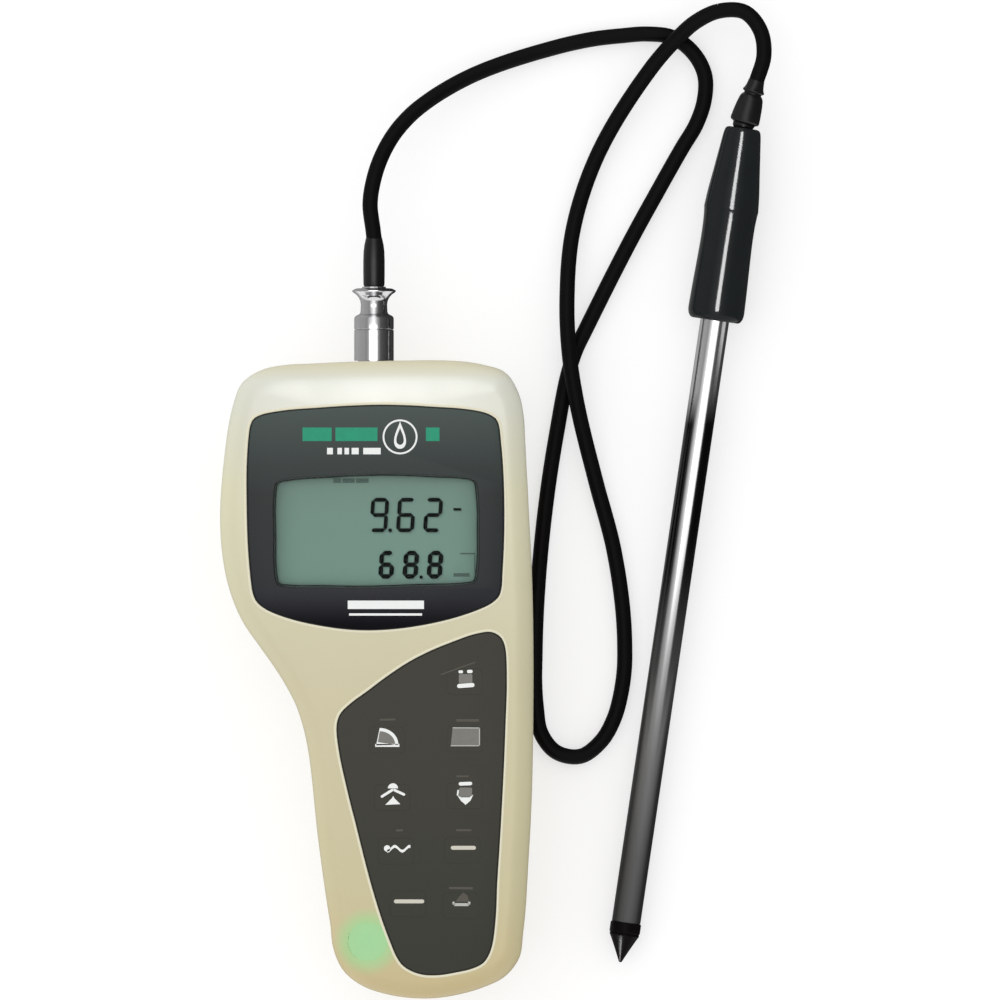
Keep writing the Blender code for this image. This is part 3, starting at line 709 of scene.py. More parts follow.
def make_front_shell(case, bezel, window, keypad):
    top, rim = top_of("front_shell"), corners("front_shell")[0].z
    shoulder = top - EDGE_RADIUS
    floor = corners("bezel")[0].z - PANEL_SEAT
    outside = [level(inset(case, PARTING_EDGE), rim), level(case, rim + PARTING_EDGE)]
    outside.append(level(case, shoulder))
    outside += [shell_ring(case, radians(turn), shoulder) for turn in range(9, 91, 9)]
    inside = [(rim, SIDE_WALL), (shoulder + 1, 2.6), (top - 2, 6.6)]
    rings = outside[::-1] + [level(inset(case, depth), z) for z, depth in inside]
    shell = solid("case_front", rings, "cream_plastic")
    cut(shell, [
        plate("bezel_recess", inset(bezel, -PANEL_FIT), floor, top + ABOVE),
        plate("keypad_recess", inset(keypad, -PANEL_FIT), floor, top + ABOVE),
        plate("window_opening", inset(window, -0.6), shoulder - 2, top + ABOVE),
        plate("keypad_opening", inset(keypad, 2.4), shoulder - 2, top + ABOVE),
        jack_hole("jack_hole"),
    ])
    soften(shell, LIP, 3)
    spot = circle(centre_of("round_label"), label_radius() - 0.02)
    cut(shell, [plate("label_recess", spot, top - LABEL_DEPTH, top + ABOVE)])
    weigh_normals(shell)
    shell.visible_glossy = False
    stand_for(shell, "meter", "cream_plastic", "front_shell")
    return shell


def make_recess_rims(curves):
    """Low rounded rims round the two recesses, moulded with the shell, in a paler cream that is painted highlight.
    """
    top = top_of("front_shell")
    section = [
        (0.08, -0.4), (0.08, 0.06), (0.2, 0.15), (0.45, 0.18), (0.7, 0.1), (0.85, -0.02), (0.85, -0.4),
    ]
    bm = bmesh.new()
    for curve in curves:
        skin(bm, [level(inset(curve, -away), top + up) for away, up in section], wrap=True)
    stand_for(mesh_object("recess_rims", bm, "highlight_cream_rim"), "meter", "cream_plastic")


def make_gap_shadows(bezel, keypad):
    """Near-black strips in the gaps round the two panels, seen as thin lines: painted shadow in the gaps."""
    bm = bmesh.new()
    for curve, node in ((bezel, "bezel"), (keypad, "keypad_panel")):
        top = top_of(node) - SEAM_DROP
        outer, inner = inset(curve, SEAM_SLACK), inset(curve, CAD_GAP - SEAM_SLACK)
        corner_places = ((outer, SEAM_HEIGHT), (outer, 0), (inner, 0), (inner, SEAM_HEIGHT))
        skin(bm, [level(side, top - depth) for side, depth in corner_places], wrap=True)
    stand_for(mesh_object("panel_gap_shadows", bm, "painted_shadow_line"), "meter", "dark_trim")


def jack_hole(name):
    """The hole for the socket, half in each shell."""
    body = middle("jack_body")
    edge = circle(0, JACK_HOLE_RADIUS)
    return solid(name, [[(body.x + p.real, y, body.z + p.imag) for p in edge] for y in JACK_HOLE_ENDS])


def hull_inset(z):
    below = max(0.0, (HULL_HEIGHT - z) / HULL_HEIGHT)
    return HULL_INSET * (1 - sqrt(1 - min(1.0, below) ** 2))


def make_rear_shell(case):
    rim = min(top_of("rear_shell"), corners("case_gasket")[0].z - 0.3)
    rings = [level(inset(case, hull_inset(0) + 1.0), 0.0)]
    rings += [level(inset(case, hull_inset(z)), z) for z in HULL_STEPS]
    rings += [level(case, rim - PARTING_EDGE), level(inset(case, PARTING_EDGE), rim)]
    rings += [level(inset(case, hull_inset(z) + SIDE_WALL), z) for z in (rim, 10, 6)]
    rings.append(level(inset(case, HULL_INSET + 1), 3.2))
    shell = solid("case_back", rings, "cream_plastic")
    cut(shell, rear_openings())
    soften(shell, 0.3)
    shell.visible_glossy = False
    stand_for(shell, "meter", "cream_plastic", "rear_shell")


def rear_openings():
    """What is cut from the back: the door's recess and well, the screws' holes and the jack's half."""
    centre = centre_of("battery_door")
    door, well = [
        tuple(side + 2 * DOOR_GAP for side in size_of(node)) for node in ("battery_door", "door_seal")
    ]
    cutters = [
        plate("door_recess", rectangle(centre, door, 3), -1, top_of("battery_door") + 0.3),
        plate("well_opening", rectangle(centre, well, 1), -1, 6),
        jack_hole("jack_hole_rear"),
    ]
    for node in nodes_starting("door_screw"):
        cutters.append(plate("hole_" + node, circle(centre_of(node), DOOR_SCREW_HOLE, 32), -1, 7))
    radius, depth = CASE_SCREW_WELL
    profile = [(0, -1), (radius, -1), (radius, depth), (0, depth)]
    for node in nodes_starting("case_screw"):
        cutters.append(turned("hole_" + node, profile, None, upright(node), sides=40))
    return cutters


def make_gasket(case):
    low, high = corners("case_gasket")
    rings = [
        level(inset(case, 0.45), low.z), level(inset(case, 0.3), (low.z + high.z) / 2),
        level(inset(case, 0.45), high.z), level(inset(case, 1.9), high.z), level(inset(case, 1.9), low.z),
    ]
    gasket = solid("parting_gasket", rings, "silicone", wrap=True)
    cut(gasket, [jack_hole("jack_hole_gasket")])
    stand_for(gasket, "meter", "silicone", "case_gasket")


def make_label():
    """A thin disc lying flush in its recess."""
    bottom = corners("round_label")[0].z
    top = top_of("front_shell") + LABEL_LIFT
    radius = label_radius()
    profile = [(0, bottom), (radius - 0.1, bottom), (radius, bottom + 0.12), (radius, top), (0, top)]
    label = turned("round_spot", profile, "green_label", upright("round_label"))
    stand_for(label, "meter", "green_label", "round_label")


# ---------------------------------------------------------------- display


CHAMFER = 0.4
BEZEL_EDGE = 0.35
LENS_DROP = 0.2  # how far the lens lies below the CAD window's top
LENS_THICKNESS = 0.35
BORDER = (0.2, 0.65)  # the painted shadow line's edges, inwards from the window's outline


def make_bezel(bezel, window):
    """The dark panel round the window, with a chamfer down to the lens."""
    low, high = corners("bezel")
    outer = inset(bezel, CAD_GAP)
    panel = softened_plate("display_bezel", outer, low.z, high.z, BEZEL_EDGE, "dark_trim", steps=3)
    opening = [
        level(inset(window, PANEL_FIT), low.z - 1), level(inset(window, PANEL_FIT), high.z - CHAMFER * 0.7),
        level(inset(window, -CHAMFER), high.z + 0.02), level(inset(window, -CHAMFER), high.z + 1),
    ]
    cut(panel, [solid("window_cut", opening)])
    stand_for(panel, "meter", "dark_trim", "bezel")


def make_window(window):
    """The clear lens, and the thin dark line round it: painted shadow along the edges of the window's recess."""
    low, high = corners("display_window")
    top = high.z - LENS_DROP
    pane = inset(window, 0.15)
    lens = softened_plate("display_lens", pane, top - LENS_THICKNESS, top, 0.15, "clear_plastic")
    stand_for(lens, "meter", "clear_plastic", "display_window")
    # Painted shadow round the window's edge.
    outer, inner = (inset(window, edge) for edge in BORDER)
    places = ((outer, 0.45), (outer, 0.2), (inner, 0.2), (inner, 0.45))
    rings = [level(side, low.z - drop) for side, drop in places]
    stand_for(solid("window_shadow_line", rings, "painted_shadow_line", wrap=True), "meter", "dark_trim")


def stamp(name, shapes, z, thickness, paint, body, slot):
    """Thin raised prints: each shape is an outline, or an (outer, inner) pair for a ring."""
    bm = bmesh.new()
    for shape in shapes:
        if isinstance(shape, tuple):
            outer, inner = shape
            places = ((outer, z), (outer, z + thickness), (inner, z + thickness), (inner, z))
            skin(bm, [level(side, height) for side, height in places], wrap=True)
        else:
            skin(bm, [level(shape, z), level(shape, z + thickness)])
    stand_for(mesh_object(name, bm, paint), body, slot)


def shift(shape, offset):
    """A print's outline, or its pair of outlines, moved."""
    if isinstance(shape, tuple):
        return tuple(outline + offset for outline in shape)
    return shape + offset


def line(start, end, width):
    """A straight stroke with square ends."""
    side = 1j * (end - start) / abs(end - start) * width / 2
    return np.array([start - side, end - side, end + side, start + side])


def bar(start, end, width):
    """A straight stroke with rounded ends."""
    along = (end - start) / abs(end - start)
    turns = np.exp(1j * np.linspace(-pi / 2, pi / 2, 7))
    return np.concatenate([end + along * turns * width / 2, start - along * turns * width / 2])


def bands(height, width, *spans):
    """Square strokes side by side at one height, each from a start to an end."""
    return [line(start + 1j * height, end + 1j * height, width) for start, end in spans]


# The seven segments of a digit as (start, end) on a grid one wide and two high
SEGMENTS = {
    "a": (2j, 1 + 2j), "b": (1 + 2j, 1 + 1j), "c": (1 + 1j, 1 + 0j), "d": (1 + 0j, 0j),
    "e": (0j, 1j), "f": (1j, 2j), "g": (1j, 1 + 1j),
}
DIGITS = {"2": "abged", "6": "acdefg", "8": "abcdefg", "9": "abcdfg"}
SLANT = 0.07
GAP = 0.04  # between the ends of neighbouring segments
LARGE_ROW = (-0.5, 10.2)  # the lower and upper edge of each row of digits
SMALL_ROW = (-14.9, -6.2)
SHADE_OFFSET = 0.45 - 0.45j


def segment(start, end, width):
    """A display segment: a bar with pointed ends."""
    along = (end - start) / abs(end - start)
    tip, side = along * width / 2, 1j * along * width / 2
    return np.array([
        start, start + tip - side, end - tip - side, end, end - tip + side, start + tip + side,
    ])


def digit(character, left, right, bottom, top, stroke):
    """The strokes of one slanted digit inside its box."""
    wide, high = right - left - stroke, top - bottom - stroke
    strokes = []
    for name in DIGITS[character]:
        ends = [
            complex(left + stroke / 2 + p.real * wide, bottom + stroke / 2 + p.imag * high / 2)
            for p in SEGMENTS[name]
        ]
        gap = GAP * (ends[1] - ends[0]) / abs(ends[1] - ends[0])
        shape = segment(ends[0] + gap, ends[1] - gap, stroke)
        strokes.append(shape + SLANT * (shape.imag - (bottom + top) / 2))
    return strokes


def make_readout():
    """Two rows of digits on the display, with their faint shadows on the layer below."""
    centre = centre_of("display_window")
    top = top_of("lcd_panel")
    marks = []
    for character, left in (("9", -1.9), ("6", 6.4), ("2", 14.8)):
        marks += digit(character, left, left + 5.6, *LARGE_ROW, 1.25)
    for character, left in (("6", 0.8), ("8", 8.3), ("8", 15.8)):
        marks += digit(character, left, left + 4.8, *SMALL_ROW, 1.45)
    marks += [circle(4.3 + 0.1j, 0.62, 20), circle(13.9 - 14.4j, 0.55, 20)]
    marks += bands(6.6, 0.8, (23.9, 26.3))
    marks = [centre + shape for shape in marks]
    shade = [shape + SHADE_OFFSET for shape in marks]
    stamp("readout_shade", shade, top + 0.01, 0.02, "lcd_shadow", "meter", "lcd_glass")
    stamp("readout_digits", marks, top + 0.04, 0.04, "lcd_ink", "meter", "lcd_glass")
    caption = bands(15.5, 1.4, (-13.3, -10.9), (-10.5, -6.7), (-6.3, -2.4))
    caption += bands(-7.1, 0.5, (26.0, 30.6))
    caption.append(line(30.5 - 7.3j, 30.5 - 13.0j, 0.3))
    caption += bands(-13.7, 1.1, (23.9, 28.9))
    caption = [centre + shape for shape in caption]
    stamp("readout_caption", caption, top + 0.04, 0.03, "lcd_shade", "meter", "lcd_glass")


def drop_emblem():
    """A water drop inside a thin ring."""
    place = 7.6 + 25.6j
    turn = np.linspace(0, tau, 60, endpoint=False)
    drop = 2.7 * np.sin(turn) * np.sin(turn / 2) ** 1.6 - 1j * 4.3 * np.cos(turn)
    outer = -drop[::-1]
    inner = outer * 0.62 - 0.4j
    ring = (circle(place - 0.6j, 5.4), circle(place - 0.6j, 4.85))
    return [ring, (place + outer, place + inner)]


def make_bezel_prints():
    """Plain bands and a water drop in a ring, in place of any lettering."""
    green = bands(25.8, 4.2, (-22.6, -13.6), (-12.4, 0.6), (15.6, 19.8))
    row = bands(20.6, 2.0, (-15.0, -13.2), (-11.8, -10.4), (-9.6, -8.2), (-7.4, -5.2), (-3.8, 1.6))
    lower = bands(-27.0, 2.6, (-8.6, 15.0)) + bands(-30.0, 0.7, (-8.2, 14.4))
    centre, top = centre_of("bezel"), top_of("bezel")
    for name, shapes, thickness, paint in (
        ("brand_band", green, 0.03, "green_print"),
        ("drop_emblem", drop_emblem(), 0.05, "white_print"),
        ("model_band", row, 0.03, "white_print"),
        ("lower_band", lower, 0.03, "white_print"),
    ):
        moved = [shift(shape, centre) for shape in shapes]
        stamp(name, moved, top, thickness, paint, "meter", "dark_trim")


# ---------------------------------------------------------------- keypad

PAD_RADIUS = 1.5
PAD_GAP = 0.03
FOOT_HEIGHT = 0.7


def make_keypad(keypad):
    low, high = corners("keypad_panel")
    panel = softened_plate("keypad_film", inset(keypad, CAD_GAP), low.z, high.z, 0.3, "keypad")
    cutters = []
    for node in nodes_starting("key_"):
        size = tuple(side + 2 * PAD_GAP for side in key_size(node))
        hole = rectangle(centre_of(node), size, PAD_RADIUS)
        cutters.append(plate("hole_" + node, hole, low.z - 2, high.z + ABOVE))
    cut(panel, cutters)
    stand_for(panel, "meter", "keypad", "keypad_panel")


def key_size(node):
    """The width and height of a key's cap, without its hidden foot."""
    points = vertices(node)
    cap = points[points[:, 2] > points[:, 2].max() - 0.05]
    return tuple(cap[:, axis].max() - cap[:, axis].min() for axis in (0, 1))


def make_keys():
    """Printed pads level with the film, each with a hidden foot and its own symbol."""
    top = top_of("keypad_panel")
    for node in nodes_starting("key_"):
        bottom = corners(node)[0].z
        centre = centre_of(node)
        name = node.removeprefix("key_")
        body = name + "_button"
        foot = rectangle(centre, size_of(node), PAD_RADIUS)
        cap = rectangle(centre, key_size(node), PAD_RADIUS)
        steps = ((foot, bottom), (foot, bottom + FOOT_HEIGHT), (cap, bottom + FOOT_HEIGHT), (cap, top))
        pad = solid("pad_" + name, [level(curve, z) for curve, z in steps], "keypad")
        stand_for(pad, body, "keypad", node)
        for layer, (paint, shapes) in enumerate(SYMBOLS[node]):
            moved = [shift(shape, centre + SYMBOL_PLACE) for shape in shapes]
            stamp(f"symbol_{name}_{layer}", moved, top + 0.02 * layer, 0.03, paint, body, "keypad")


def quarter_dome(shrink=0.0):
    """A quarter round on its base, the higher side on the left."""
    turn = np.linspace(0, pi / 2, 12)
    curve = -2.5 - 2.2j + (5.8 - shrink) * np.cos(turn) + (5.2 - shrink) * 1j * np.sin(turn)
    return np.concatenate([[-3.6 + shrink / 2 - (2.4 - shrink) * 1j], curve])


def squiggle():
    """A wave with a thick rounded start."""
    x = np.linspace(-3.0, 4.2, 22)
    height = 0.75 * np.sin(x * 1.37 + 2.39)
    return np.concatenate([x + 1j * (height - 0.45), x[::-1] + 1j * (height[::-1] + 0.45)])


SYMBOL_PLACE = 0.25 + 0.75j  # the prints' middle, measured from a key's middle
ARROW = np.array([
    -2.6 - 0.6j, -1.5 - 2.3j, -3.6j, 1.5 - 2.3j, 2.4 - 0.4j, 1.2 - 1.3j, -1.4 - 1.3j,
])
SYMBOLS = {
    "key_power": [
        ("dim_print", [rectangle(0.2j, (4.2, 2.8), 0.4)]),
        ("white_print", [rectangle(-1.5 + 2.3j, (1.4, 0.9), 0.4), rectangle(1.3 + 2.4j, (1.7, 1.0), 0.4),
                         bar(-2.0 - 2.1j, 2.1 - 1.8j, 1.3)]),
    ],
    "key_enter": [
        ("dim_print", [np.array([-4.6 - 2.9j, 4.4 - 2.9j, 4.4 + 2.8j, -4.0 + 2.9j])]),
        ("grey_print", [line(-4.0 + 2.75j, 4.4 + 2.7j, 0.3), line(4.3 - 2.9j, 4.3 + 2.8j, 0.3),
                        line(-4.6 - 2.8j, 4.4 - 2.8j, 0.3)]),
    ],
    "key_down": [
        ("dim_print", [rectangle(0.3j, (4.0, 2.9), 0.5)]),
        ("white_print", [bar(-1.6 + 2.9j, 1.5 + 3.0j, 1.1), ARROW, line(-2.5 - 0.7j, -2.3 + 1.0j, 0.5)]),
    ],
    "key_memory": [("soft_print", [bar(-3.3, 3.3, 1.2)])],
    "key_light": [
        ("faint_print", [np.array([-1.9 + 0.5j, 2.4 + 0.5j, 1.9 + 2.4j, 0.6 + 3.4j, -0.6 + 2.2j])]),
        ("grey_print", [bar(-1.9 - 0.4j, 1.9 - 0.4j, 0.9), line(-2.3 - 0.4j, -2.5 + 0.5j, 0.7),
                        line(2.3 - 0.4j, 2.5 + 0.5j, 0.7)]),
    ],
    "key_mode": [
        ("dim_print", [quarter_dome(0.6)]),
        ("white_print", [(quarter_dome(), quarter_dome(1.0)), line(-3.9 - 2.4j, 3.6 - 2.4j, 0.9)]),
    ],
    "key_up": [
        ("white_print", [np.concatenate([[-1.5 + 2.1j], 2.1j + 1.6 * np.exp(1j * np.linspace(0, pi, 9))]),
                         bar(-0.2 + 1.6j, -3.4 - 0.4j, 0.8), bar(0.4 + 1.6j, 3.4 + 0.2j, 0.8),
                         np.array([-2.4 - 3.0j, 2.3 - 2.8j, 0.4 - 0.9j, 0.1 - 0.2j, -0.3 - 0.9j])]),
    ],
    "key_recall": [("white_print", [circle(-3.0 + 0.1j, 1.0, 20), squiggle()])],
    "key_calibrate": [("soft_print", [bar(-4.1, 4.1, 1.2)])],
}

# The start, the end and the width of the faint stroke above each key, measured from the key's middle
CAPTIONS = {
    "key_power": (-7.4 + 2.2j, 3.2 + 6.0j, 0.4), "key_enter": (-2.6 + 5.8j, 4.4 + 5.8j, 0.8),
    "key_mode": (-2.2 + 6.3j, 2.6 + 6.4j, 0.6), "key_down": (-2.6 + 6.0j, 1.2 + 6.0j, 0.5),
    "key_recall": (0.0 + 6.4j, 2.1 + 6.5j, 0.6), "key_memory": (-2.0 + 6.2j, 2.7 + 6.2j, 0.6),
    "key_light": (-3.6 + 5.5j, 3.8 + 5.4j, 0.7),
}


def make_key_captions():
    """Faint thin lines printed on the film above the keys."""
    shapes = [centre_of(node) + line(*stroke) for node, stroke in CAPTIONS.items()]
    stamp("key_captions", shapes, top_of("keypad_panel"), 0.02, "faint_print", "meter", "keypad")


# ---------------------------------------------------------------- connector

PIVOTS = {joint["name"]: Vector(joint["pos_m"]) / MM for joint in frame["joints"] if joint.get("pos_m")}
ABOVE_JOINT, BELOW_JOINT = Vector((0, 11, 0)), Vector((0, -13, 0))
PLUG_BEND = (PIVOTS["lead_swing"] + BELOW_JOINT, PIVOTS["lead_swing"] + ABOVE_JOINT)
PROBE_BEND = (PIVOTS["probe_swing"] + ABOVE_JOINT, PIVOTS["probe_swing"] - ABOVE_JOINT)


def bend(piece, body_a, body_b, ends, slot, *nodes):
    """A soft piece across a joint: its placement is baked into its mesh and the named CAD nodes are hidden."""
    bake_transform(piece)
    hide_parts(*nodes)


def connector_axis():
    """Local Z along world Y through the socket, so that heights are world Y."""
    centre = middle("jack_body")
    return Matrix.Translation((centre.x, 0, centre.z)) @ Matrix.Rotation(-pi / 2, 4, "X")


def widest(node):
    """The radius of a turned node whose axis is along Y."""
    low, high = corners(node)
    return (high.z - low.z) / 2


def make_jack(axis):
    sleeve = widest("jack_body")
    start, end = ends_along_y("jack_body")
    shoulder = end - 8.6
    seat = ends_along_y("jack_oring")[0] - 0.1
    bore = widest("jack_oring") + 0.05
    body = [
        (3.4, start), (3.4, start + 4), (4.9, start + 4), (4.9, shoulder), (bore, shoulder),
        (bore, seat), (sleeve, seat), (sleeve, end - 0.2), (sleeve - 0.2, end), (5.1, end),
        (5.1, end - 6.7), (2.6, end - 6.7), (2.6, start),
    ]
    jack = turned("jack_sleeve", body, "polished_steel", axis, hollow=True)
    stand_for(jack, "meter", "polished_steel", "jack_body")
    return jack


def make_coupling_ring(axis):
    """The bayonet ring: a drum, a slimmer neck and a thin flared lip to grip it by."""
    sleeve, lip = widest("jack_body"), widest("coupling_ring")
    start, end = ends_along_y("coupling_ring")
    outside = [
        (sleeve - 0.2, start - 0.22), (sleeve, start), (sleeve, start + 3.2), (sleeve - 0.15, start + 3.7),
        (sleeve - 0.6, start + 4.1), (4.5, start + 4.6), (4.2, start + 5.2), (4.1, start + 7.6),
        (4.3, start + 8.8), (4.8, start + 9.8), (5.6, start + 10.7), (lip - 0.35, start + 11.25),
        (lip, start + 11.6), (lip, end - 0.7), (lip - 0.3, end - 0.5), (5.7, end - 0.1), (5.0, end),
    ]
    inside = [(3.95, end), (3.95, start + 1.7), (5.05, start + 1.6), (5.05, start - 0.22)]
    profile = outside + inside
    ring = turned("coupling_ring_steel", profile, "polished_steel", axis, True, FINE_SIDES)
    stand_for(ring, "ring", "polished_steel", "coupling_ring")
    return ring


def make_plug_boot(axis):
    low, high = ends_along_y("plug_boot")
    collar = ends_along_y("coupling_ring")[1] + 0.5
    boot = [
        (0, low), (2.1, low), (2.1, collar), (2.9, collar), (3.2, collar + 0.25), (3.3, collar + 0.8),
        (3.35, collar + 4), (3.35, collar + 8), (3.25, collar + 11), (3.0, collar + 13),
        (2.7, high - 0.6), (2.45, high + 0.4), (0, high + 0.4),
    ]
    cover = turned("plug_boot_soft", boot, "boot_rubber", axis, sides=48)
    bend(cover, "plug", "lead", PLUG_BEND, "black_rubber", "plug_boot")
    return cover


# ---------------------------------------------------------------- cable

END_RUN = 36.0  # length of the cable's two bending end pieces
TUCKED = 3.0  # how far each end runs on into its boot
NEAR_PLUG = 5.0  # the cable's corner points nearer to the plug's pivot are at its start


def cable_middles():
    """The middle of each ring of the CAD cable from the plug to the probe, and the cable's radius."""
    bm = bmesh.new()
    bm.from_mesh(frame["nodes"]["cable"].data)
    bmesh.ops.remove_doubles(bm, verts=bm.verts, dist=1e-6)
    near_plug = [v for v in bm.verts if (v.co / MM - PIVOTS["lead_swing"]).length < NEAR_PLUG]
    layer = [min(near_plug, key=lambda v: v.co.y)]
    seen, rings = set(layer), []
    while layer:
        rings.append(layer)
        around = {edge.other_vert(v) for v in layer for edge in v.link_edges}
        layer = [v for v in around if v not in seen]
        seen.update(layer)
    middles = [sum((v.co for v in ring), Vector()) / len(ring) / MM for ring in rings[2:-2]]
    radius = (rings[2][0].co / MM - middles[0]).length
    bm.free()
    return middles, radius


def make_cable():
    """One run of cable in three pieces: the ends are baked in place at the boots and the middle follows the lead.
    """
    middles, radius = cable_middles()
    for end, neighbour, place in ((0, 1, 0), (-1, -2, len(middles) + 1)):
        away = (middles[end] - middles[neighbour]).normalized()
        middles.insert(place, middles[end] + away * TUCKED)
    path = spline([tuple(p) for p in middles], 6, closed=False)
    gone = np.concatenate([[0], np.cumsum(np.linalg.norm(np.diff(path, axis=0), axis=1))])
    first = int(np.searchsorted(gone, END_RUN))
    last = int(np.searchsorted(gone, gone[-1] - END_RUN))
    made = {}
    for name, part, domes in (
        ("cable_start", path[: first + 1], (True, False)),
        ("cable_middle", path[first : last + 1], (False, False)),
        ("cable_end", path[last:], (False, True)),
    ):
        length = np.linalg.norm(np.diff(part, axis=0), axis=1).sum()
        part = evenly(part, round(length / CABLE_STEP) + 1, closed=False)
        rings = rod_rings(part, [radius] * len(part), CABLE_SIDES, *domes)
        made[name] = solid(name, rings, "black_rubber")
    bend(made["cable_start"], "plug", "lead", PLUG_BEND, "black_rubber", "cable")
    bend(made["cable_end"], "lead", "probe", PROBE_BEND, "black_rubber", "cable")
    stand_for(made["cable_middle"], "lead", "black_rubber", "cable")


# ---------------------------------------------------------------- probe


def probe_axis():
    """Local Z from the top of the handle, at 0, to the tip."""
    tube = vertices("probe_tube")
    centre = tube.mean(axis=0)
    along = Vector(np.linalg.svd(tube - centre, full_matrices=False)[2][0])
    if along.y > 0:
        along = -along
    handle = vertices("handle")
    start = ((handle - centre) @ np.array(along)).min()
    top = Vector(centre) + along * start
    return Matrix.Translation(top) @ along.to_track_quat("Z", "Y").to_matrix().to_4x4()


def reach(node, axis):
    """How far down the probe's axis a node starts and ends, and its largest radius."""
    local = np.array([axis.inverted() @ Vector(p) for p in vertices(node)])
    return local[:, 2].min(), local[:, 2].max(), np.hypot(local[:, 0], local[:, 1]).max()


def make_handle(axis):
    _, length, radius = reach("handle", axis)
    upper = [(5.15, 0.25), (5.6, 1.0), (6.45, 7), (7.3, 14), (8.1, 20.5), (8.5, 25.2)]
    lower = [(8.52, 25.6), (8.4, 26.4), (8.15, 30), (8.1, 35), (8.3, 42), (8.6, 50), (radius, length - 3.4)]
    profile = [(4.4, 0)]
    for curve in (upper, lower):
        profile += [tuple(p) for p in spline([complex(*p) for p in curve], 4, closed=False)]
    profile += [
        (radius - 0.05, length - 2.4), (radius - 0.3, length - 1.3), (radius - 0.8, length - 0.45),
        (radius - 1.5, length), (6.1, length), (6.1, 58), (4.8, 58), (4.8, 24), (2.9, 24), (2.9, 0),
    ]
    handle = turned("handle_grip", profile, "black_handle", axis, True, FINE_SIDES)
    stand_for(handle, "probe", "black_handle", "handle")
    start, end, _ = reach("handle_seal", axis)
    seal = [(5.95, start), (5.95, end - 0.3), (5.6, end), (4.9, end), (4.7, end - 0.2), (4.7, start)]
    seal = turned("handle_seal_ring", seal, "black_rubber", axis, hollow=True)
    stand_for(seal, "probe", "black_rubber", "handle_seal")
    return handle


def make_strain_relief(axis):
    """A tapered boot with a thin flange, leaning from the handle towards the cable."""
    end = axis.inverted() @ PIVOTS["probe_swing"]
    neck = Vector((0, 0, -1.2))
    lean = (end - neck).normalized()
    stations = [
        (0.1, 3.4), (0.35, 3.7), (0.55, 4.25), (0.8, 4.5), (1.3, 4.62), (3, 4.5), (6, 4.15), (8.2, 3.75),
        (8.9, 3.5), (9.4, 3.1), (9.7, 2.75), (10.1, 2.75), (10.35, 3.25), (10.6, 3.42), (10.9, 3.4),
        (11.3, 3.1), (12.2, 2.8), (13.4, 2.58), (14.2, 2.5),
    ]
    path = [(0, 0, 9), (0, 0, 0.4), (0, 0, -0.1), (0, 0, -0.7), tuple(neck)]
    path += [tuple(neck + lean * s) for s, _ in stations]
    radii = [2.5, 2.5, 3.1, 3.4, 3.4] + [r for _, r in stations]
    rings = rod_rings(path, radii, 48, False, False)
    boot = solid("strain_relief_soft", rings, "boot_rubber", place=axis)
    bend(boot, "lead", "probe", PROBE_BEND, "black_rubber", "strain_relief")


def make_tube(axis):
    start, end, radius = reach("probe_tube", axis)
    profile = [
        (radius, start), (radius, end - 0.35), (radius - 0.08, end - 0.15), (radius - 0.25, end),
        (4.0, end), (4.0, start),
    ]
    tube = turned("probe_tube_steel", profile, "tube_steel", axis, True, FINE_SIDES)
    stand_for(tube, "probe", "polished_steel", "probe_tube")
    return tube


def make_tip(axis):
    start, end, radius = reach("tip_insulator", axis)
    head = reach("probe_tube", axis)[1] + 0.02
    collar = [
        (0, start), (3.6, start), (3.6, head), (radius - 0.35, head), (radius - 0.1, head + 0.1),
        (radius, head + 0.35), (radius, end - 0.25), (radius - 0.15, end), (1.6, end), (1.6, end - 4),
        (0, end - 4),
    ]
    collar = turned("tip_collar", collar, "tip_black", axis)
    stand_for(collar, "probe", "black_component", "tip_insulator")
    start, point, _ = reach("tip_electrode", axis)
    base = end + 0.02
    taper, last = base + 0.7, point - 0.6
    cone = [(0, start), (1.2, start), (1.2, base), (4.35, base), (4.6, base + 0.2), (4.62, taper)]
    for share in (0.06, 0.14, 0.3, 0.5, 0.7, 0.88, 1):
        cone.append((4.62 - 3.97 * share ** 0.94, taper + (last - taper) * share))
    cone += [(0.55, point - 0.3), (0.33, point - 0.08), (0, point)]
    cone = turned("tip_cone", cone, "tip_black", axis)
    stand_for(cone, "probe", "black_handle", "tip_electrode")
    return cone


# ---------------------------------------------------------------- stage

CAMERA_HEIGHT = 4.0
VIEW_WIDTH = 0.3125  # metres of floor across the picture
VIEW_CENTRE = (0.0375, 0.05625)
SENSOR = 36.0
FLOOR_RADIUS = 4000
FLOOR_DROP = 0.0003  # metres, so that it stays clear of what rests on it
FLOOR_GLOW = 0.60


def make_camera():
    data = bpy.data.cameras.new("camera")
    data.sensor_width = SENSOR
    data.lens = SENSOR * CAMERA_HEIGHT / VIEW_WIDTH
    data.clip_end = 50
    camera = bpy.data.objects.new("camera", data)
    camera.location = (*VIEW_CENTRE, CAMERA_HEIGHT)
    bpy.context.scene.collection.objects.link(camera)
    bpy.context.scene.camera = camera


def make_floor():
    """A wide pale disc, matt and nearly white, lit a little from within so that shadows stay soft."""
    material = Finish("floor", 0.0)
    material.set("Emission Color", grey(1.0))
    material.set("Emission Strength", FLOOR_GLOW)
    PAINTS["floor"] = material.dress(grey(0.45), 0.9, mottle=0.003, patch=60, bump=0.0)
    bm = bmesh.new()
    bm.faces.new([bm.verts.new((p.real * MM, p.imag * MM, 0)) for p in circle(0, FLOOR_RADIUS, 96)])
    floor = mesh_object("floor", bm, "floor")
    floor.location.z = -FLOOR_DROP
    floor.visible_glossy = False


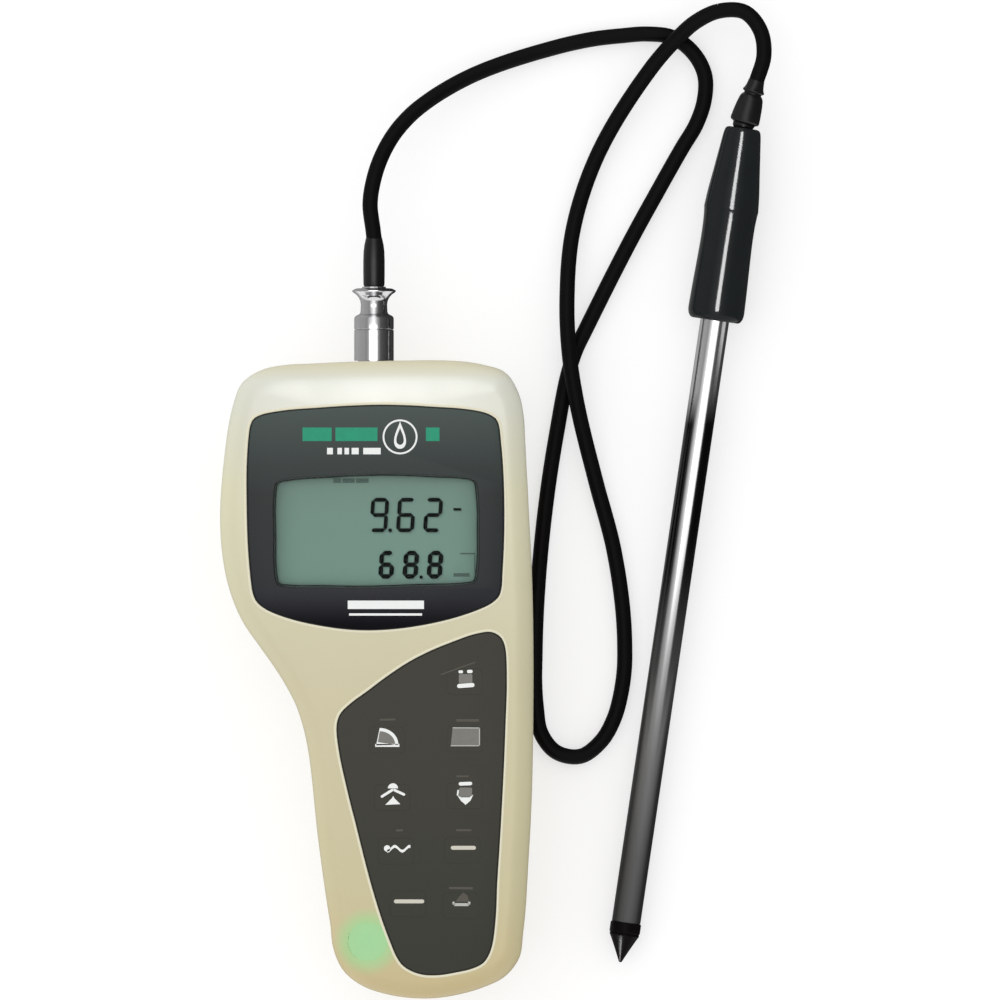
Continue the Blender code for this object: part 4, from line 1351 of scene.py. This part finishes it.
# What shiny surfaces see: degrees from overhead, negative to the left, and how bright the room is there
ROOM_PEAK = 1.3
BRIGHT_SIDE = (-0.28, 0.22, 0.0)
ROOM = (
    (-180, 0.30), (-120, 0.44), (-84, 0.38), (-60, 0.36), (-40, 0.28), (-20, 0.82), (-6, 1.28), (4, 1.30),
    (19, 0.46), (39, 0.10), (60, 0.065), (84, 0.04), (120, 0.05), (180, 0.02),
)


def make_world():
    """An even white room, a little brighter from the upper left. Shiny surfaces see ROOM instead."""
    world = bpy.data.worlds.new("studio")
    world.use_nodes = True
    bpy.context.scene.world = world
    tree = world.node_tree
    tree.nodes.clear()
    direction = add_node(tree, "TexCoord").outputs["Generated"]
    parts = add_node(tree, "SeparateXYZ", {0: direction}).outputs
    turn = maths(tree, "ARCTAN2", parts["X"], parts["Z"])
    share = add_node(tree, "MapRange", {"Value": turn, "From Min": -pi, "From Max": pi}).outputs["Result"]
    walls = ramp(tree, share, [(angle / 360 + 0.5, grey(value / ROOM_PEAK)) for angle, value in ROOM])
    sides = add_node(tree, "VectorMath", {0: walls, 1: (ROOM_PEAK,) * 3}, operation="MULTIPLY").outputs[0]
    seen = blend_colours(tree, stretch(tree, parts["Y"], -0.45, -0.65), sides, grey(1.0))
    lean = add_node(tree, "VectorMath", {0: direction, 1: BRIGHT_SIDE}, operation="DOT_PRODUCT")
    even = maths(tree, "ADD", lean.outputs["Value"], 1.0)
    room = add_node(tree, "CombineXYZ", {0: even, 1: even, 2: even}).outputs[0]
    rays = add_node(tree, "LightPath").outputs
    soft = blend_colours(tree, rays["Is Glossy Ray"], room, seen)
    white = blend_colours(tree, rays["Is Camera Ray"], soft, (1, 1, 1, 1))
    background = add_node(tree, "Background", {"Color": white})
    output = add_node(tree, "OutputWorld")
    tree.links.new(background.outputs[0], output.inputs[0])


def softbox(name, centre, size, radiance, target, receivers):
    """A rectangular studio light that shows only in the shine of the pieces that it is meant for."""
    data = bpy.data.lights.new(name, "AREA")
    data.shape = "RECTANGLE"
    data.size, data.size_y = size
    data.energy = radiance * pi * size[0] * size[1]
    light = bpy.data.objects.new(name, data)
    light.location = centre
    light.rotation_euler = (Vector(target) - Vector(centre)).to_track_quat("-Z", "Y").to_euler()
    light.visible_diffuse = False
    light.visible_camera = False
    bpy.context.scene.collection.objects.link(light)
    group = bpy.data.collections.new(name + "_receivers")
    for piece in receivers:
        group.objects.link(piece)
    light.light_linking.receiver_collection = group


def make_lights(case, connector, handle, tube, tip):
    """The head's soft band, and the streaks on the connector, the handle, the tube and the tip."""
    softbox("head_softbox", (0.0, 0.132, 0.2), (0.02, 0.13), 27.0, (0.0, 0.09, 0.036), case)
    softbox("connector_strip", (-0.03, 0.11, 0.6), (0.14, 0.5), 1.4, (0.0, 0.11, 0.02), connector)
    softbox("handle_strip", (0.125, 0.26, 0.6), (0.15, 0.52), 55.0, (0.125, 0.14, 0.01), handle)
    softbox("tube_band", (0.26, 0.05, 0.6), (0.56, 1.0), 1.0, (0.26, 0.05, 0.01), tube)
    softbox("tube_right", (0.55, 0.034, 0.05), (0.05, 0.30), 0.6, (0.10, 0.10, 0.01), tube)
    softbox("tip_glint", (-0.27, -0.44, 0.31), (0.34, 0.12), 170.0, (0.077, -0.085, 0.01), tip)


# ---------------------------------------------------------------- the whole


def outlines():
    """The case, the bezel, the window and the keypad recess, finely drawn from the CAD's corner points."""
    shoulder = top_of("front_shell") - EDGE_RADIUS
    case = fine(outline_at("front_shell", shoulder, CASE_CENTRE), CASE_POINTS)
    window_centre = centre_of("display_window")
    window = outline_at("display_window", top_of("display_window"), window_centre)
    around = outline_at("bezel", top_of("bezel"), window_centre)
    bezel = np.array([p for p in around if abs(window - p).min() > 2])
    panel = outline_at("keypad_panel", top_of("keypad_panel"), KEYPAD_CENTRE)
    keys = np.array([centre_of(node) for node in nodes_starting("key_")])
    keypad = np.array([p for p in panel if abs(keys - p).min() > KEY_CLEARANCE])
    return case, *(inset(fine(curve, PANEL_POINTS), -CAD_GAP) for curve in (bezel, window, keypad))


def main():
    dress_cad_nodes()
    case, bezel, window, keypad = outlines()
    shell = make_front_shell(case, bezel, window, keypad)
    make_recess_rims([bezel, keypad])
    make_gap_shadows(bezel, keypad)
    make_rear_shell(case)
    make_gasket(case)
    make_label()
    make_bezel(bezel, window)
    make_window(window)
    make_readout()
    make_bezel_prints()
    make_keypad(keypad)
    make_keys()
    make_key_captions()
    axis = connector_axis()
    connector = [make_jack(axis), make_coupling_ring(axis), make_plug_boot(axis)]
    make_cable()
    axis = probe_axis()
    handle, tube, tip = make_handle(axis), make_tube(axis), make_tip(axis)
    make_strain_relief(axis)
    make_camera()
    make_floor()
    make_world()
    make_lights([shell], connector, [handle], [tube], [tip])
    bpy.context.scene.view_settings.view_transform = "Standard"


main()
